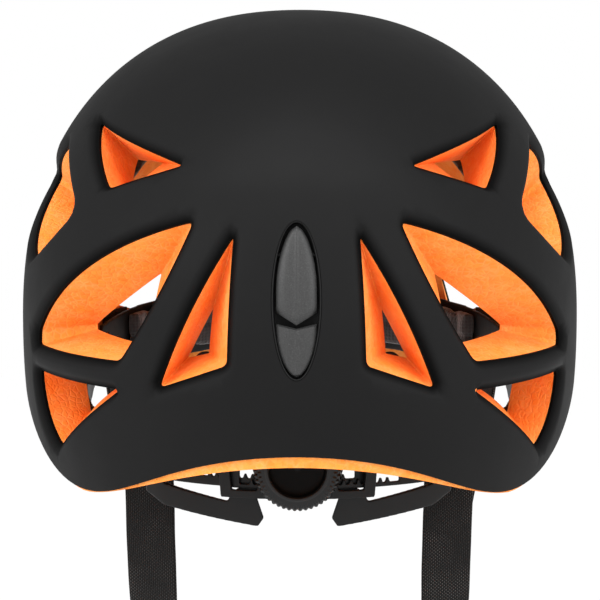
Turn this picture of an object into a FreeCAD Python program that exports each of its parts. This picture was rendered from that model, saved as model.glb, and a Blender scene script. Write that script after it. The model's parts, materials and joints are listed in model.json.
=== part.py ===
"""Climbing helmet: in-mould shell on a foam liner, head ring with nape dial, straps and lamp clips.

Row frame, millimetres: +Z up, +Y to the brow, +X to the wearer's right. The origin is the centre of the
head cavity, level with the helmet's widest section. Azimuth is measured round Z from the nape (-Y), and
elevation from the horizontal, both from the origin.
"""

import os
from math import acos, ceil, cos, degrees, floor, hypot, pi, radians, sin, sqrt, tan

import FreeCAD
import Part
from FreeCAD import Vector

# --- driving dimensions -------------------------------------------------------------------------
# Outer form: half a superellipse in height, half an ellipse in plan, longer to the front
HALF_WIDTH = 107.0
REAR_LENGTH = 130.0
FRONT_LENGTH = 144.0
CROWN_HEIGHT = 119.0
LOWER_DEPTH = 140.0
ROUNDNESS = 2.27
SHELL_WALL = 1.5
BOND_GAP = 0.05

# Foam walls, measured from the inside of the shell
FOAM_SIDE = 19.5
FOAM_REAR = 24.5
FOAM_FRONT = 26.5
FOAM_TOP = 24.0
CAVITY_LOWER_DEPTH = 200.0

# Lower edges in side view: (y, z) where the edge runs level, joined by half cosines
SHELL_RIM = [(-165, -16.3), (-80, -51.5), (10, -16.0), (80, -33.0), (165, -22.0)]
FOAM_RIM = [(-165, -20.5), (-80, -52.7), (10, -17.5), (80, -34.5), (165, -25.5)]

# Vents of one side: corners (azimuth, elevation) on the outer face and on the cavity face, and how far
# each edge bows outwards, all in degrees. The other side mirrors them.
VENTS = {
    "rear_upper": ([(58, 42.5), (22.6, 33.1), (40.8, 29.1)],
                   [(60, 43), (43, 42), (52, 35.5)], [0.5, 0, 0]),
    "rear_side": ([(18.3, 23.4), (63.8, 1.2), (64.2, -1.6), (32.1, -0.4)],
                  [(31, 16.5), (55.5, 3.2), (55.3, 2.0), (33.5, 1.0)], [3.2, 0, 0, 1.2]),
    "rear_small": ([(10.7, 21.1), (23.6, -3.9), (11.2, 0.6)],
                   [(17.3, 9.7), (22.9, -0.5), (18, 0.8)], [0.6, 0, 0]),
    "rear_lower": ([(32, -5.2), (63.5, -6.5), (54.3, -19.4)],
                   [(43.5, -9), (68, -9), (62, -18.5)], [0, 2.4, 0]),
    "side": ([(50, 25), (73, 38), (104, 28), (72, 14.5)],
             [(63, 24.5), (76, 34), (96, 26), (77, 18.5)], [1, 1, 1, 1]),
    "front_upper": ([(122, 42.5), (157, 33.1), (139, 29.1)],
                    [(120, 43), (137, 42), (128, 35.5)], [0.5, 0, 0]),
    "front_side": ([(161, 22), (149, -8), (116, 0)],
                   [(150, 15), (143, -6), (124, -1)], [0, 0, 3]),
    "front_small": ([(169, 24), (155.5, 3), (168.5, 7)],
                    [(163, 14), (157.5, 6), (162, 7.5)], [0.6, 0, 0]),
}
VENT_STEPS = 3
VENT_REACH = (0.3, 0.35)
CAP_OUT = 1.2
CAP_IN = 0.85

# Lamp clips: azimuth, elevation, half width and half height of the oval, and the name's prefix
CLIPS = {
    "rear": (0, 11, 8.9, 28.5),
    "front_left": (-163, -5.5, 5.6, 12.0),
    "front_right": (163, -5.5, 5.6, 12.0),
}
CLIP_DEPTH = 9.5
CLIP_WALL = 1.1
CLIP_FIT = 0.1
CLIP_PIN_R = 0.9
LEAF_THICK = 2.2
LEAF_GAP = 0.9
RUNNING_GAP = 0.06

# Head ring: layers on a round rear half, then half an ellipse to the brow
RING_R = 80.0
RING_Y = -8.0
BROW_REACH = 117.0
BAND_Z = -40.0
BAND_HALF = 9.6
BAND_WALL = 1.2
LAYER_GAP = 0.3
BAND_END_DEG = 72.0
BAND_OVERLAP_DEG = 24.0
FRAME_WALL = 1.8
PLATE_WALL = 1.6
HEADBAND_WALL = 1.4

# Dial and pinion
MODULE = 0.875
PINION_TEETH = 12
BACKLASH = 0.34
KNOB_R = 16.0
KNOB_THICK = 9.0
KNOB_RIDGES = 36
DISH_R = 10.8
DISH_DEPTH = 3.5
SHAFT_R = 3.0
SCREW_R = 1.25

# Housing, hangers and nape wings, seen from behind: (x, z)
EAR_X = 26.0
BAR_THICK = 3.0
BLOCK_HALF = 14.5
BLOCK_LIP = 4.4
HANGER_WIDTH = 4.4
HANGER_TOP = (33.0, -91.0, -3.0)
WING = [(9, -31), (9, -49), (15, -53), (12.3, -61), (14.5, -64.2), (49.5, -59.6), (56.5, -55.5),
        (57.5, -29), (49.5, -29), (49.5, -51.2), (25.5, -55.4), (24.2, -52), (16, -47), (16, -31)]

# Temple pins and strap anchors
TEMPLE_Y = 25.5
TEMPLE_Z = -14.0
TEMPLE_SHAFT_R = 2.5
PLUG_R = 4.0
PLUG_LENGTH = 11.0

# Webbing: (centre, direction of its width) along each strap of the left side, from anchor to end
STRAP_WIDTH = 20.0
STRAP_THICK = 1.5
REAR_STRAP = [((-65.7, -59.4, -2), (-0.68, 0.73, 0)), ((-64.3, -55.5, -12), (-0.72, 0.69, 0)),
              ((-59.0, -45.5, -24), (-0.88, 0.47, 0)), ((-57.0, -42, -40), (-0.93, 0.37, 0)),
              ((-56.2, -41.5, -72), (-0.94, 0.34, 0)), ((-55.4, -40.5, -106), (-0.90, 0.43, 0.02)),
              ((-56.0, -36, -128), (-0.55, 0.83, 0.1)), ((-56.5, -29.4, -143.5), (-0.10, 0.97, 0.22))]
FRONT_STRAP = [((-75.6, 50, -4), (0.40, 0.92, 0)), ((-75.2, 49.5, -25), (0.40, 0.92, 0)),
               ((-73, 45, -45), (0.35, 0.92, -0.2)), ((-64.5, 19.6, -92), (0.1, 0.9, -0.45)),
               ((-56.5, -8.4, -143.5), (0.0, 0.87, -0.5))]
DIVIDER_AT = (-56.5, -19, -150)
DIVIDER_SIZE = (4.6, 36, 17)
CHIN_HANG = [((-56.5, -19, -157), (0, 1, 0)), ((-56.3, -19.5, -172), (0, 1, 0)),
             ((-54, -20.3, -188), (0, 1, 0)), ((-48.2, -21.1, -204.5), (0, 1, 0)),
             ((-39, -21.7, -219), (0, 1, 0))]

# Side-release buckle, along X
BUCKLE_AT = (0, -22, -230)
BUCKLE_WIDTH = 27.0
BUCKLE_THICK = 9.0
BUCKLE_LENGTH = 52.0
SOCKET_LENGTH = 35.0
BAR_WIDTH = 2.2
BAR_HEIGHT = 3.8
BAR_SLOT = 3.6
BUCKLE_WALL = 1.7
BUCKLE_FIT = 0.3
TAIL_GAP = 0.7
KEEPER_GAP = 0.35
KEEPER_WALL = 1.2
KEEPER_LENGTH = 7.0

# Room in the foam for the dial over the ring's travel: radius, top and depth from the cavity face
RECESS_R = 19.5
RECESS_Z = -33.0
RECESS_DEPTH = 3.5

# The nape's edge, seen from behind, carried straight in: its half width, its end along Y, and the skin's
# share of its widest section at that height
UNDERCUT_HALF = 80.0
UNDERCUT_STEP = 8.0
UNDERCUT_END = -45.0
UNDERCUT_SHARE = 0.974
UNDERCUT_DROP = 0.2

PAD_THICK = 6.0
PAD_GAP = 0.2
FAR = 260.0


# --- form ---------------------------------------------------------------------------------------
def semi_axes(side=0.0, rear=0.0, front=0.0, top=0.0, lower=LOWER_DEPTH):
    """Half width, rear and front lengths, height and lower depth of a form inside the outer one."""
    return HALF_WIDTH - side, REAR_LENGTH - rear, FRONT_LENGTH - front, CROWN_HEIGHT - top, lower


def inset(depth):
    return semi_axes(depth, depth, depth, depth, LOWER_DEPTH - depth)


def cavity(depth=0.0):
    """The cavity face, or a face that far inside the cavity."""
    wall = SHELL_WALL + depth
    return semi_axes(wall + FOAM_SIDE, wall + FOAM_REAR, wall + FOAM_FRONT, wall + FOAM_TOP,
                     CAVITY_LOWER_DEPTH)


def on_form(form, azimuth, elevation):
    """The point of a form in a direction from the origin."""
    width, rear, front, top, lower = form
    az, el = radians(azimuth), radians(elevation)
    d = Vector(cos(el) * sin(az), -cos(el) * cos(az), sin(el))
    flat = hypot(d.x / width, d.y / (rear if d.y < 0 else front))
    tall = abs(d.z) / (top if d.z > 0 else lower)
    return d * (flat**ROUNDNESS + tall**ROUNDNESS) ** (-1 / ROUNDNESS)


def normal_at(form, p):
    width, rear, front, top, lower = form
    length = rear if p.y < 0 else front
    flat = hypot(p.x / width, p.y / length)
    ring = ROUNDNESS * flat ** (ROUNDNESS - 2)
    height = top if p.z > 0 else lower
    rise = ROUNDNESS * (abs(p.z) / height) ** (ROUNDNESS - 1) / height
    n = Vector(ring * p.x / width**2, ring * p.y / length**2, rise if p.z > 0 else -rise)
    return n.normalize()


def bell(form, bottom):
    """A solid of the form from the crown down to z = bottom."""
    width, rear, front, top, lower = form
    steps = 14
    points = []
    for i in range(steps + 1):
        t = radians(90 - 90 * i / steps)
        x = width * cos(t) ** (2 / ROUNDNESS) if i else 0
        points.append(Vector(x, 0, top * sin(t) ** (2 / ROUNDNESS)))
    points[-1] = Vector(width, 0, 0)
    low = 5
    for i in range(1, low + 1):
        z = bottom * i / low
        points.append(Vector(width * (1 - (abs(z) / lower) ** ROUNDNESS) ** (1 / ROUNDNESS), 0, z))
    curve = Part.BSplineCurve()
    curve.interpolate(points)
    foot = Vector(0, 0, bottom)
    edges = [curve.toShape(), Part.makeLine(points[-1], foot), Part.makeLine(foot, points[0])]
    face = Part.Face(Part.Wire(edges))
    halves = []
    for turn, length in ((-180, rear), (180, front)):
        half = face.revolve(Vector(0, 0, 0), Vector(0, 0, 1), turn)
        scale = FreeCAD.Matrix()
        scale.scale(1, length / width, 1)
        halves.append(Part.Solid(half.transformGeometry(scale)))
    return halves[0].fuse(halves[1])


def rim_height(stations, y):
    for (y0, z0), (y1, z1) in zip(stations, stations[1:]):
        if y <= y1:
            return z0 + (z1 - z0) * (1 - cos(pi * (y - y0) / (y1 - y0))) / 2
    return stations[-1][1]


def below_rim(stations):
    """Everything under a lower edge, right through along X."""
    first, last, step = stations[0][0], stations[-1][0], 5
    count = round((last - first) / step)
    ys = [first + (last - first) * i / count for i in range(count + 1)]
    points = [Vector(-FAR, y, rim_height(stations, y)) for y in ys]
    curve = Part.BSplineCurve()
    curve.interpolate(points)
    low0, low1 = Vector(-FAR, first, -FAR), Vector(-FAR, last, -FAR)
    edges = [curve.toShape(), Part.makeLine(points[-1], low1), Part.makeLine(low1, low0),
             Part.makeLine(low0, points[0])]
    return Part.Face(Part.Wire(edges)).extrude(Vector(2 * FAR, 0, 0))


# --- vents --------------------------------------------------------------------------------------
def outline(corners, bows):
    """Points round an outline in (azimuth, elevation), each edge bowed outwards."""
    cx = sum(c[0] for c in corners) / len(corners)
    cy = sum(c[1] for c in corners) / len(corners)
    points = []
    for (a, b), bow in zip(zip(corners, corners[1:] + corners[:1]), bows):
        dx, dy = b[0] - a[0], b[1] - a[1]
        length = hypot(dx, dy)
        nx, ny = dy / length, -dx / length
        mx, my = (a[0] + b[0]) / 2, (a[1] + b[1]) / 2
        if (mx - cx) * nx + (my - cy) * ny < 0:
            nx, ny = -nx, -ny
        steps = VENT_STEPS if length > 4 else 1
        for i in range(steps):
            t = i / steps
            rise = bow * 4 * t * (1 - t)
            points.append((a[0] + dx * t + nx * rise, a[1] + dy * t + ny * rise))
    return points


def matched(corners, bows, model):
    """An inner outline with as many points on each edge as the outer one has."""
    points = []
    for (a, b), (c, d) in zip(zip(corners, corners[1:] + corners[:1]), zip(model, model[1:] + model[:1])):
        steps = VENT_STEPS if hypot(d[0] - c[0], d[1] - c[1]) > 4 else 1
        for i in range(steps):
            t = i / steps
            points.append((a[0] + (b[0] - a[0]) * t, a[1] + (b[1] - a[1]) * t))
    return points


def plug_between(outer, inner):
    """A closed solid of flat triangles between two loops, its end caps peaked clear of the walls."""
    n = len(outer)
    ends = (sum(outer, Vector()) / n * CAP_OUT, sum(inner, Vector()) / n * CAP_IN)
    faces = []

    def triangle(a, b, c):
        faces.append(Part.Face(Part.makePolygon([a, b, c, a])))

    for i in range(n):
        j = (i + 1) % n
        triangle(outer[i], outer[j], ends[0])
        triangle(inner[j], inner[i], ends[1])
        triangle(outer[i], inner[i], inner[j])
        triangle(outer[i], inner[j], outer[j])
    solid = Part.Solid(Part.makeShell(faces))
    if solid.Volume < 0:
        solid.reverse()
    return solid


def vent_cutters():
    cutters = []
    skin, inside = inset(0), cavity()
    for corners, hole, bows in VENTS.values():
        outer_line = outline(corners, bows)
        inner_line = matched(hole, bows, corners)
        for side in (1, -1):
            outer = [on_form(skin, side * az, el) for az, el in outer_line]
            inner = [on_form(inside, side * az, el) for az, el in inner_line]
            pairs = list(zip(outer, inner))
            cutters.append(plug_between([o + (o - i) * VENT_REACH[0] for o, i in pairs],
                                        [i + (i - o) * VENT_REACH[1] for o, i in pairs]))
    return cutters


# --- small shapes -------------------------------------------------------------------------------
def box_between(low, high):
    return Part.makeBox(high[0] - low[0], high[1] - low[1], high[2] - low[2], Vector(*low))


def rod(radius, start, end):
    start, end = Vector(*start), Vector(*end)
    return Part.makeCylinder(radius, (end - start).Length, start, end - start)


def mirrored(shape):
    return shape.mirror(Vector(0, 0, 0), Vector(1, 0, 0))


def fused(shapes):
    return shapes[0].multiFuse(shapes[1:])


# --- shell, liner and pads ----------------------------------------------------------------------
def clip_frame(azimuth, elevation):
    """Placement at a clip: local X across, Z up along the surface, and -Y out of it."""
    p = on_form(inset(0), azimuth, elevation)
    out = normal_at(inset(0), p)
    across = Vector(0, 0, 1).cross(out).normalize()
    up = out.cross(across)
    across, up = (across, up) if up.z > 0 else (-across, -up)
    m = FreeCAD.Matrix(across.x, -out.x, up.x, p.x, across.y, -out.y, up.y, p.y,
                       across.z, -out.z, up.z, p.z, 0, 0, 0, 1)
    return FreeCAD.Placement(m)


def oval(half_width, half_height, near, far):
    """An oval prism about local Y, from y = near to y = far."""
    ellipse = Part.Ellipse(Vector(0, 0, half_height), Vector(half_width, 0, 0), Vector(0, 0, 0)).toShape()
    face = Part.Face(Part.Wire([ellipse]))
    face.translate(Vector(0, near, 0))
    return face.extrude(Vector(0, far - near, 0))


def placed(shape, placement):
    copy = shape.copy()
    copy.Placement = placement.multiply(copy.Placement)
    return copy


def clip_pockets(clearance):
    reach = 12.0
    return [placed(oval(w + clearance, h + clearance, -reach, CLIP_DEPTH + clearance), clip_frame(az, el))
            for az, el, w, h in CLIPS.values()]


def anchor_places():
    """Point on the cavity wall and outward direction of each strap anchor, left side first."""
    places = []
    for strap in (REAR_STRAP, FRONT_STRAP):
        centre, across = strap[0]
        out = Vector(*across).cross(Vector(0, 0, 1)).normalize()
        out = out if out.x < 0 else -out
        for side in (1, -1):
            places.append((Vector(side * centre[0], centre[1], centre[2]), Vector(side * out.x, out.y, 0)))
    return places


def anchors():
    """Foam plugs under the strap ends, each with a button that the strap is sewn to."""
    button_r, button_thick, lift = 7.0, 1.6, STRAP_THICK / 2 + 0.5
    shapes, holes = [], []
    for p, out in anchor_places():
        start = p + out * lift
        button = Part.makeCylinder(button_r, button_thick, start, out)
        plug = Part.makeCylinder(PLUG_R, PLUG_LENGTH, start + out * button_thick, out)
        shapes.append(button.fuse(plug))
        holes.append(Part.makeCylinder(button_r + 0.15, button_thick + 10.15, start - out * 10, out))
        holes.append(Part.makeCylinder(PLUG_R + 0.05, PLUG_LENGTH + 0.05, start + out * button_thick, out))
    return shapes, holes


def temple_wall():
    width, _, front, _, _ = cavity()
    return width * sqrt(1 - (TEMPLE_Y / front) ** 2)


def temple_pin():
    """Left temple pin: a plug in the foam, a flange, and a shaft with a head that the ring hangs on."""
    wall = temple_wall()
    at = (TEMPLE_Y, TEMPLE_Z)
    head_r = 4.6
    inner = ring_x(TEMPLE_Y + head_r, layer_radii()[3]) - 0.2
    pieces = [rod(PLUG_R, (-wall - PLUG_LENGTH, *at), (-wall + 0.5, *at)),
              rod(6.5, (-wall + 0.5, *at), (-wall + 1.8, *at)),
              rod(TEMPLE_SHAFT_R, (-wall + 1.8, *at), (-inner, *at)),
              rod(head_r, (-inner, *at), (-inner + 1.5, *at))]
    hole = rod(PLUG_R + 0.05, (-wall - PLUG_LENGTH - 0.05, *at), (-wall + 8, *at))
    recess = rod(6.7, (-wall + 0.45, *at), (-wall + 8, *at))
    return fused(pieces), [hole, recess]


def nape_undercut():
    """Everything under the nape's edge, straight in from it, so that the dial shows below."""
    count = round(2 * UNDERCUT_HALF / UNDERCUT_STEP)
    points = []
    for i in range(count + 1):
        x = -UNDERCUT_HALF + UNDERCUT_STEP * i
        y = -REAR_LENGTH * UNDERCUT_SHARE * sqrt(1 - (x / HALF_WIDTH / UNDERCUT_SHARE) ** 2)
        points.append(Vector(x, -FAR, rim_height(FOAM_RIM, y) - UNDERCUT_DROP))
    curve = Part.BSplineCurve()
    curve.interpolate(points)
    low0, low1 = Vector(-UNDERCUT_HALF, -FAR, -FAR), Vector(UNDERCUT_HALF, -FAR, -FAR)
    edges = [curve.toShape(), Part.makeLine(points[-1], low1), Part.makeLine(low1, low0),
             Part.makeLine(low0, points[0])]
    return Part.Face(Part.Wire(edges)).extrude(Vector(0, FAR + UNDERCUT_END, 0))


def dial_recess():
    """A shallow round-topped bay in the foam behind the dial."""
    wall_y = -cavity()[1]
    bay = rod(RECESS_R, (0, wall_y + 30, RECESS_Z), (0, wall_y - RECESS_DEPTH, RECESS_Z))
    low, high = (-RECESS_R, wall_y - RECESS_DEPTH, RECESS_Z - 40), (RECESS_R, wall_y + 30, RECESS_Z)
    below = box_between(low, high)
    return bay.fuse(below)


def crown_pads():
    """Comfort pads on the cavity face: one along the crown and two each side."""
    layer = bell(cavity(PAD_GAP), -5).cut(bell(cavity(PAD_GAP + PAD_THICK), -20))
    windows = [box_between((-16, -55, 60), (16, 50, 130)),
               box_between((-70, -22, 50), (-36, 14, 130)),
               box_between((36, -22, 50), (70, 14, 130))]
    return Part.Compound([s for w in windows for s in layer.common(w).Solids])


# --- lamp clips ---------------------------------------------------------------------------------
def leaf(width, top, bottom, tip, shoulder):
    """A leaf outline in the local XZ plane: pointed at the far end, with a shallow V at the other."""
    a, b, c = Vector(0, 0, top), Vector(width, 0, shoulder), Vector(-width, 0, shoulder)
    side = 0.66
    bulge_r = Vector(width * 0.93, 0, top + (shoulder - top) * side)
    bulge_l = Vector(-bulge_r.x, 0, bulge_r.z)
    edges = [Part.Arc(a, Vector(width * 0.62, 0, top + (shoulder - top) * 0.28), bulge_r).toShape(),
             Part.makeLine(bulge_r, b), Part.makeLine(b, Vector(0, 0, tip)),
             Part.makeLine(Vector(0, 0, tip), c), Part.makeLine(c, bulge_l),
             Part.Arc(bulge_l, Vector(-width * 0.62, 0, top + (shoulder - top) * 0.28), a).toShape()]
    return Part.Face(Part.Wire(edges))


def clip(azimuth, elevation, half_width, half_height):
    """Base tray, hinged flap, fixed tongue and pin of one lamp clip, and the flap's hinge point."""
    frame = clip_frame(azimuth, elevation)
    skin = bell(inset(0), -70)
    under = bell(inset(LEAF_THICK), -70)
    w, h = half_width - CLIP_FIT, half_height - CLIP_FIT
    floor = CLIP_DEPTH - CLIP_WALL
    hinge_z = half_height * 0.55
    hinge_y = LEAF_THICK + 2.2
    tray = oval(w, h, -6, CLIP_DEPTH).cut(oval(w - CLIP_WALL, h - CLIP_WALL, -7, floor))
    tray = placed(tray, frame).common(skin)
    pin_half = (w - CLIP_WALL) * sqrt(1 - (hinge_z / (h - CLIP_WALL)) ** 2)
    hole = rod(CLIP_PIN_R + RUNNING_GAP, (-w, hinge_y, hinge_z), (w, hinge_y, hinge_z))
    tray = tray.cut(placed(hole, frame))
    pin = rod(CLIP_PIN_R, (-pin_half - 0.6, hinge_y, hinge_z), (pin_half + 0.6, hinge_y, hinge_z))

    leaf_w = w - CLIP_WALL - LEAF_GAP
    leaf_h = h - CLIP_WALL - LEAF_GAP
    tip_z = -0.15 * half_height
    flap_face = leaf(leaf_w, leaf_h, 0, tip_z, tip_z + 0.16 * half_height)
    flap_face.translate(Vector(0, -6, 0))
    flap = placed(flap_face.extrude(Vector(0, 14, 0)), frame).common(skin).cut(under)
    knuckle_r = 2.1
    tall = (hinge_z + knuckle_r) / (h - CLIP_WALL)
    knuckle_half = (w - CLIP_WALL) * sqrt(1 - tall**2) - 0.3
    knuckle = rod(knuckle_r, (-knuckle_half, hinge_y, hinge_z), (knuckle_half, hinge_y, hinge_z))
    web = box_between((-knuckle_half, 0.6, hinge_z - 1.3), (knuckle_half, hinge_y, hinge_z + 1.3))
    root = placed(web, frame).common(skin).cut(bell(inset(LEAF_THICK / 2), -70))
    pin_hole = rod(CLIP_PIN_R + RUNNING_GAP, (-w, hinge_y, hinge_z), (w, hinge_y, hinge_z))
    flap = fused([flap, placed(knuckle, frame), root]).cut(placed(pin_hole, frame))

    low = leaf(leaf_w, -leaf_h, 0, tip_z - 0.10 * half_height, tip_z - 0.03 * half_height)
    low.translate(Vector(0, -6, 0))
    tongue = placed(low.extrude(Vector(0, 14, 0)), frame).common(skin).cut(under)
    post_w = leaf_w * 0.45
    post = box_between((-post_w, 0.6, -half_height * 0.55), (post_w, floor, -half_height * 0.36))
    tongue = tongue.fuse(placed(post, frame).common(bell(inset(LEAF_THICK / 2), -70)))
    hinge = frame.multVec(Vector(0, hinge_y, hinge_z))
    return tray, flap, tongue, placed(pin, frame), hinge


# --- head ring ----------------------------------------------------------------------------------
def ring_x(y, r=RING_R):
    return r * sqrt(1 - ((y - RING_Y) / (BROW_REACH + r - RING_R)) ** 2)


def layer(inner, outer, z0=-80, z1=30):
    """A round wall about the ring's axis."""
    base = Vector(0, RING_Y, z0)
    return Part.makeCylinder(outer, z1 - z0, base).cut(Part.makeCylinder(inner, z1 - z0, base))


def ring_layer(inner, outer, z0=-80, z1=30):
    """The same wall, drawn out to the brow in its front half."""
    def disc(r):
        reach = BROW_REACH + r - RING_R
        centre = Vector(0, RING_Y, z0)
        oval_edge = Part.Ellipse(Vector(0, RING_Y + reach, z0), Vector(r, RING_Y, z0), centre)
        left, right, back = Vector(-r, RING_Y, z0), Vector(r, RING_Y, z0), Vector(0, RING_Y - r, z0)
        arc = Part.Arc(left, back, right).toShape()
        first, last = oval_edge.parameter(right), oval_edge.parameter(left)
        half = Part.Edge(oval_edge, min(first, last), max(first, last))
        if half.valueAt((half.FirstParameter + half.LastParameter) / 2).y < RING_Y:
            half = Part.Edge(oval_edge, max(first, last), min(first, last) + 2 * pi)
        return Part.Face(Part.Wire([arc, half])).extrude(Vector(0, 0, z1 - z0))
    return disc(outer).cut(disc(inner))


def on_circle(r, x):
    """The y of a point at x on a rear circle of the ring."""
    return RING_Y - sqrt(r**2 - x**2)


def from_behind(points):
    """A prism along Y of an outline (x, z), over the rear half."""
    loop = [Vector(x, -FAR, z) for x, z in points]
    return Part.Face(Part.makePolygon(loop + loop[:1])).extrude(Vector(0, FAR + RING_Y, 0))


def across_block(low, high):
    """Outline of the housing's block between two heights, seen from behind."""
    return [(-BLOCK_HALF, low), (BLOCK_HALF, low), (BLOCK_HALF, high), (-BLOCK_HALF, high)]


def from_the_side(points):
    """A prism along X of an outline (y, z)."""
    loop = [Vector(-FAR, y, z) for y, z in points]
    return Part.Face(Part.makePolygon(loop + loop[:1])).extrude(Vector(2 * FAR, 0, 0))


def wedge(start, end, z0, z1, r=RING_R + 30):
    """A sector about the ring's axis between two azimuths."""
    w = Part.makeCylinder(r, z1 - z0, Vector(0, RING_Y, z0), Vector(0, 0, 1), end - start)
    w.rotate(Vector(0, RING_Y, 0), Vector(0, 0, 1), -90 + start)
    return w


def layer_radii():
    """Inner radii of the frame, the left band, the right band and the housing plate."""
    left = RING_R - 1.0
    right = left + BAND_WALL + LAYER_GAP
    return left - LAYER_GAP - FRAME_WALL, left, right, right + BAND_WALL + LAYER_GAP


def rack_teeth():
    """Heights above the dial's axis: tips and roots of the row in mesh, then of the idle row."""
    pitch_r = MODULE * PINION_TEETH / 2
    outer = pitch_r + 0.85 * MODULE
    tip, root = pitch_r - 0.85 * MODULE, pitch_r + 1.1 * MODULE
    idle_tip = outer + 0.35
    return tip, root, idle_tip, idle_tip + root - tip


def tooth_row(tip, root, inner_r, outer_r, start, end, down):
    """Trapezoid teeth pointing at the dial's axis, each cut radially, on a base that closes the row."""
    pitch = pi * MODULE
    step = degrees(pitch / RING_R)
    middle = (tip + root) / 2
    half = pitch / 4 - BACKLASH / 4
    slope = tan(radians(20))
    teeth = []
    for i in range(ceil(start / step), floor(end / step) + 1):
        wide, narrow = half + (root - middle) * slope, half - (middle - tip) * slope
        flank = [(wide, root + 0.2), (wide, root), (narrow, tip)]
        points = [(-x, z) for x, z in flank] + flank[::-1]
        loop = [Vector(x, RING_Y - outer_r - 1, BAND_Z - z if down else BAND_Z + z) for x, z in points]
        tooth = Part.Face(Part.makePolygon(loop + loop[:1])).extrude(Vector(0, outer_r - inner_r + 2, 0))
        tooth.rotate(Vector(0, RING_Y, 0), Vector(0, 0, 1), i * step)
        teeth.append(tooth)
    return teeth


def rack_band(side):
    """A slotted band with a row of teeth on each bar; the pinion meshes with one row.

    side -1 is the left band, which runs on its lower row, and side 1 the right one, on its upper row.
    """
    _, left_r, right_r, _ = layer_radii()
    inner = left_r if side < 0 else right_r
    outer = inner + BAND_WALL
    tip, root, idle_tip, idle_root = rack_teeth()
    start, end = -BAND_OVERLAP_DEG * 0.75, BAND_END_DEG
    slot_end = 27.0
    low, high = (root, idle_root) if side < 0 else (idle_root, root)
    body = layer(inner, outer, BAND_Z - BAND_HALF, BAND_Z + BAND_HALF)
    slot = layer(inner - 1, outer + 1, BAND_Z - low, BAND_Z + high)
    if side < 0:
        span, opening = (-end, -start), (-slot_end, -start - 3)
    else:
        span, opening = (start, end), (start + 3, slot_end)
    body = body.common(wedge(*span, BAND_Z - 20, BAND_Z + 20))
    body = body.cut(slot.common(wedge(*opening, BAND_Z - 20, BAND_Z + 20)))
    ring = layer(inner, outer, BAND_Z - BAND_HALF, BAND_Z + BAND_HALF)
    first, last = opening
    down = side < 0
    mesh_row = tooth_row(tip, root, inner, outer, first + 1.6, last - 1.6, down)
    idle_row = tooth_row(idle_tip, idle_root, inner, outer, first + 1.6, last - 1.6, not down)
    teeth = [t.common(ring) for t in mesh_row + idle_row]
    return fused([body] + teeth)


def pinion_profile():
    """Involute teeth as straight steps between sampled points; a gap faces straight down."""
    pitch_r = MODULE * PINION_TEETH / 2
    outer_r = pitch_r + 0.85 * MODULE
    root_r = pitch_r - 1.1 * MODULE
    base_r = pitch_r * cos(radians(20))
    half = (pi * MODULE / 2 - BACKLASH) / 2 / pitch_r

    def roll(r):
        a = acos(base_r / r) if r > base_r else 0
        return tan(a) - a

    start_r = max(base_r, root_r + 0.1)
    radii = [root_r, start_r, (base_r + pitch_r) / 2, pitch_r, (pitch_r + outer_r) / 2, outer_r]
    points = []
    for k in range(PINION_TEETH):
        centre = 2 * pi * k / PINION_TEETH
        flank = [(r, half + roll(pitch_r) - roll(r)) for r in radii]
        points += [(r, centre - w) for r, w in flank] + [(r, centre + w) for r, w in reversed(flank)]
    return [(r * cos(a), r * sin(a)) for r, a in points]


def dial():
    """Knob, pinion with its shaft, and the screw through both, about the dial's axis."""
    _, left_r, _, plate_r = layer_radii()
    gear_y, knob_y = RING_Y - left_r + 0.2, RING_Y - plate_r - PLATE_WALL - 0.4
    turn = pi / PINION_TEETH
    loop = [Vector(x * cos(turn) - z * sin(turn), gear_y, BAND_Z + x * sin(turn) + z * cos(turn))
            for x, z in pinion_profile()]
    gear = Part.Face(Part.makePolygon(loop + loop[:1])).extrude(Vector(0, -(plate_r - left_r - 0.5), 0))
    shaft = rod(SHAFT_R, (0, gear_y, BAND_Z), (0, knob_y - 3.5, BAND_Z))
    bore = rod(SCREW_R + 0.02, (0, gear_y + 1, BAND_Z), (0, knob_y - 20, BAND_Z))
    pinion = gear.fuse(shaft).cut(bore)

    knob = rod(KNOB_R, (0, knob_y, BAND_Z), (0, knob_y - KNOB_THICK, BAND_Z))
    face_y = knob_y - KNOB_THICK
    rim = [e for e in knob.Edges if e.Closed and abs(e.CenterOfMass.y - face_y) < 0.01]
    knob = knob.makeChamfer(1.0, rim)
    bottom = Vector(0, face_y + DISH_DEPTH, BAND_Z)
    dish = Part.makeCone(DISH_R - 1.0, DISH_R, DISH_DEPTH, bottom, Vector(0, -1, 0))
    socket = rod(SHAFT_R + 0.02, (0, knob_y + 1, BAND_Z), (0, knob_y - 3.55, BAND_Z))
    screw_hole = rod(SCREW_R - 0.01, (0, knob_y, BAND_Z), (0, knob_y - 5.6, BAND_Z))
    groove_r, notches = 0.9, []
    for k in range(KNOB_RIDGES):
        a = 2 * pi * k / KNOB_RIDGES
        x, z = (KNOB_R + 0.35) * cos(a), BAND_Z + (KNOB_R + 0.35) * sin(a)
        notches.append(rod(groove_r, (x, knob_y + 1, z), (x, knob_y - KNOB_THICK - 1, z)))
    knob = knob.cut(Part.Compound([dish, socket, screw_hole] + notches))

    head = rod(2.4, (0, gear_y + 1.4, BAND_Z), (0, gear_y + 0.02, BAND_Z))
    screw = head.fuse(rod(SCREW_R - 0.03, (0, gear_y + 0.02, BAND_Z), (0, knob_y - 5.4, BAND_Z)))
    return knob, pinion, screw


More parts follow.
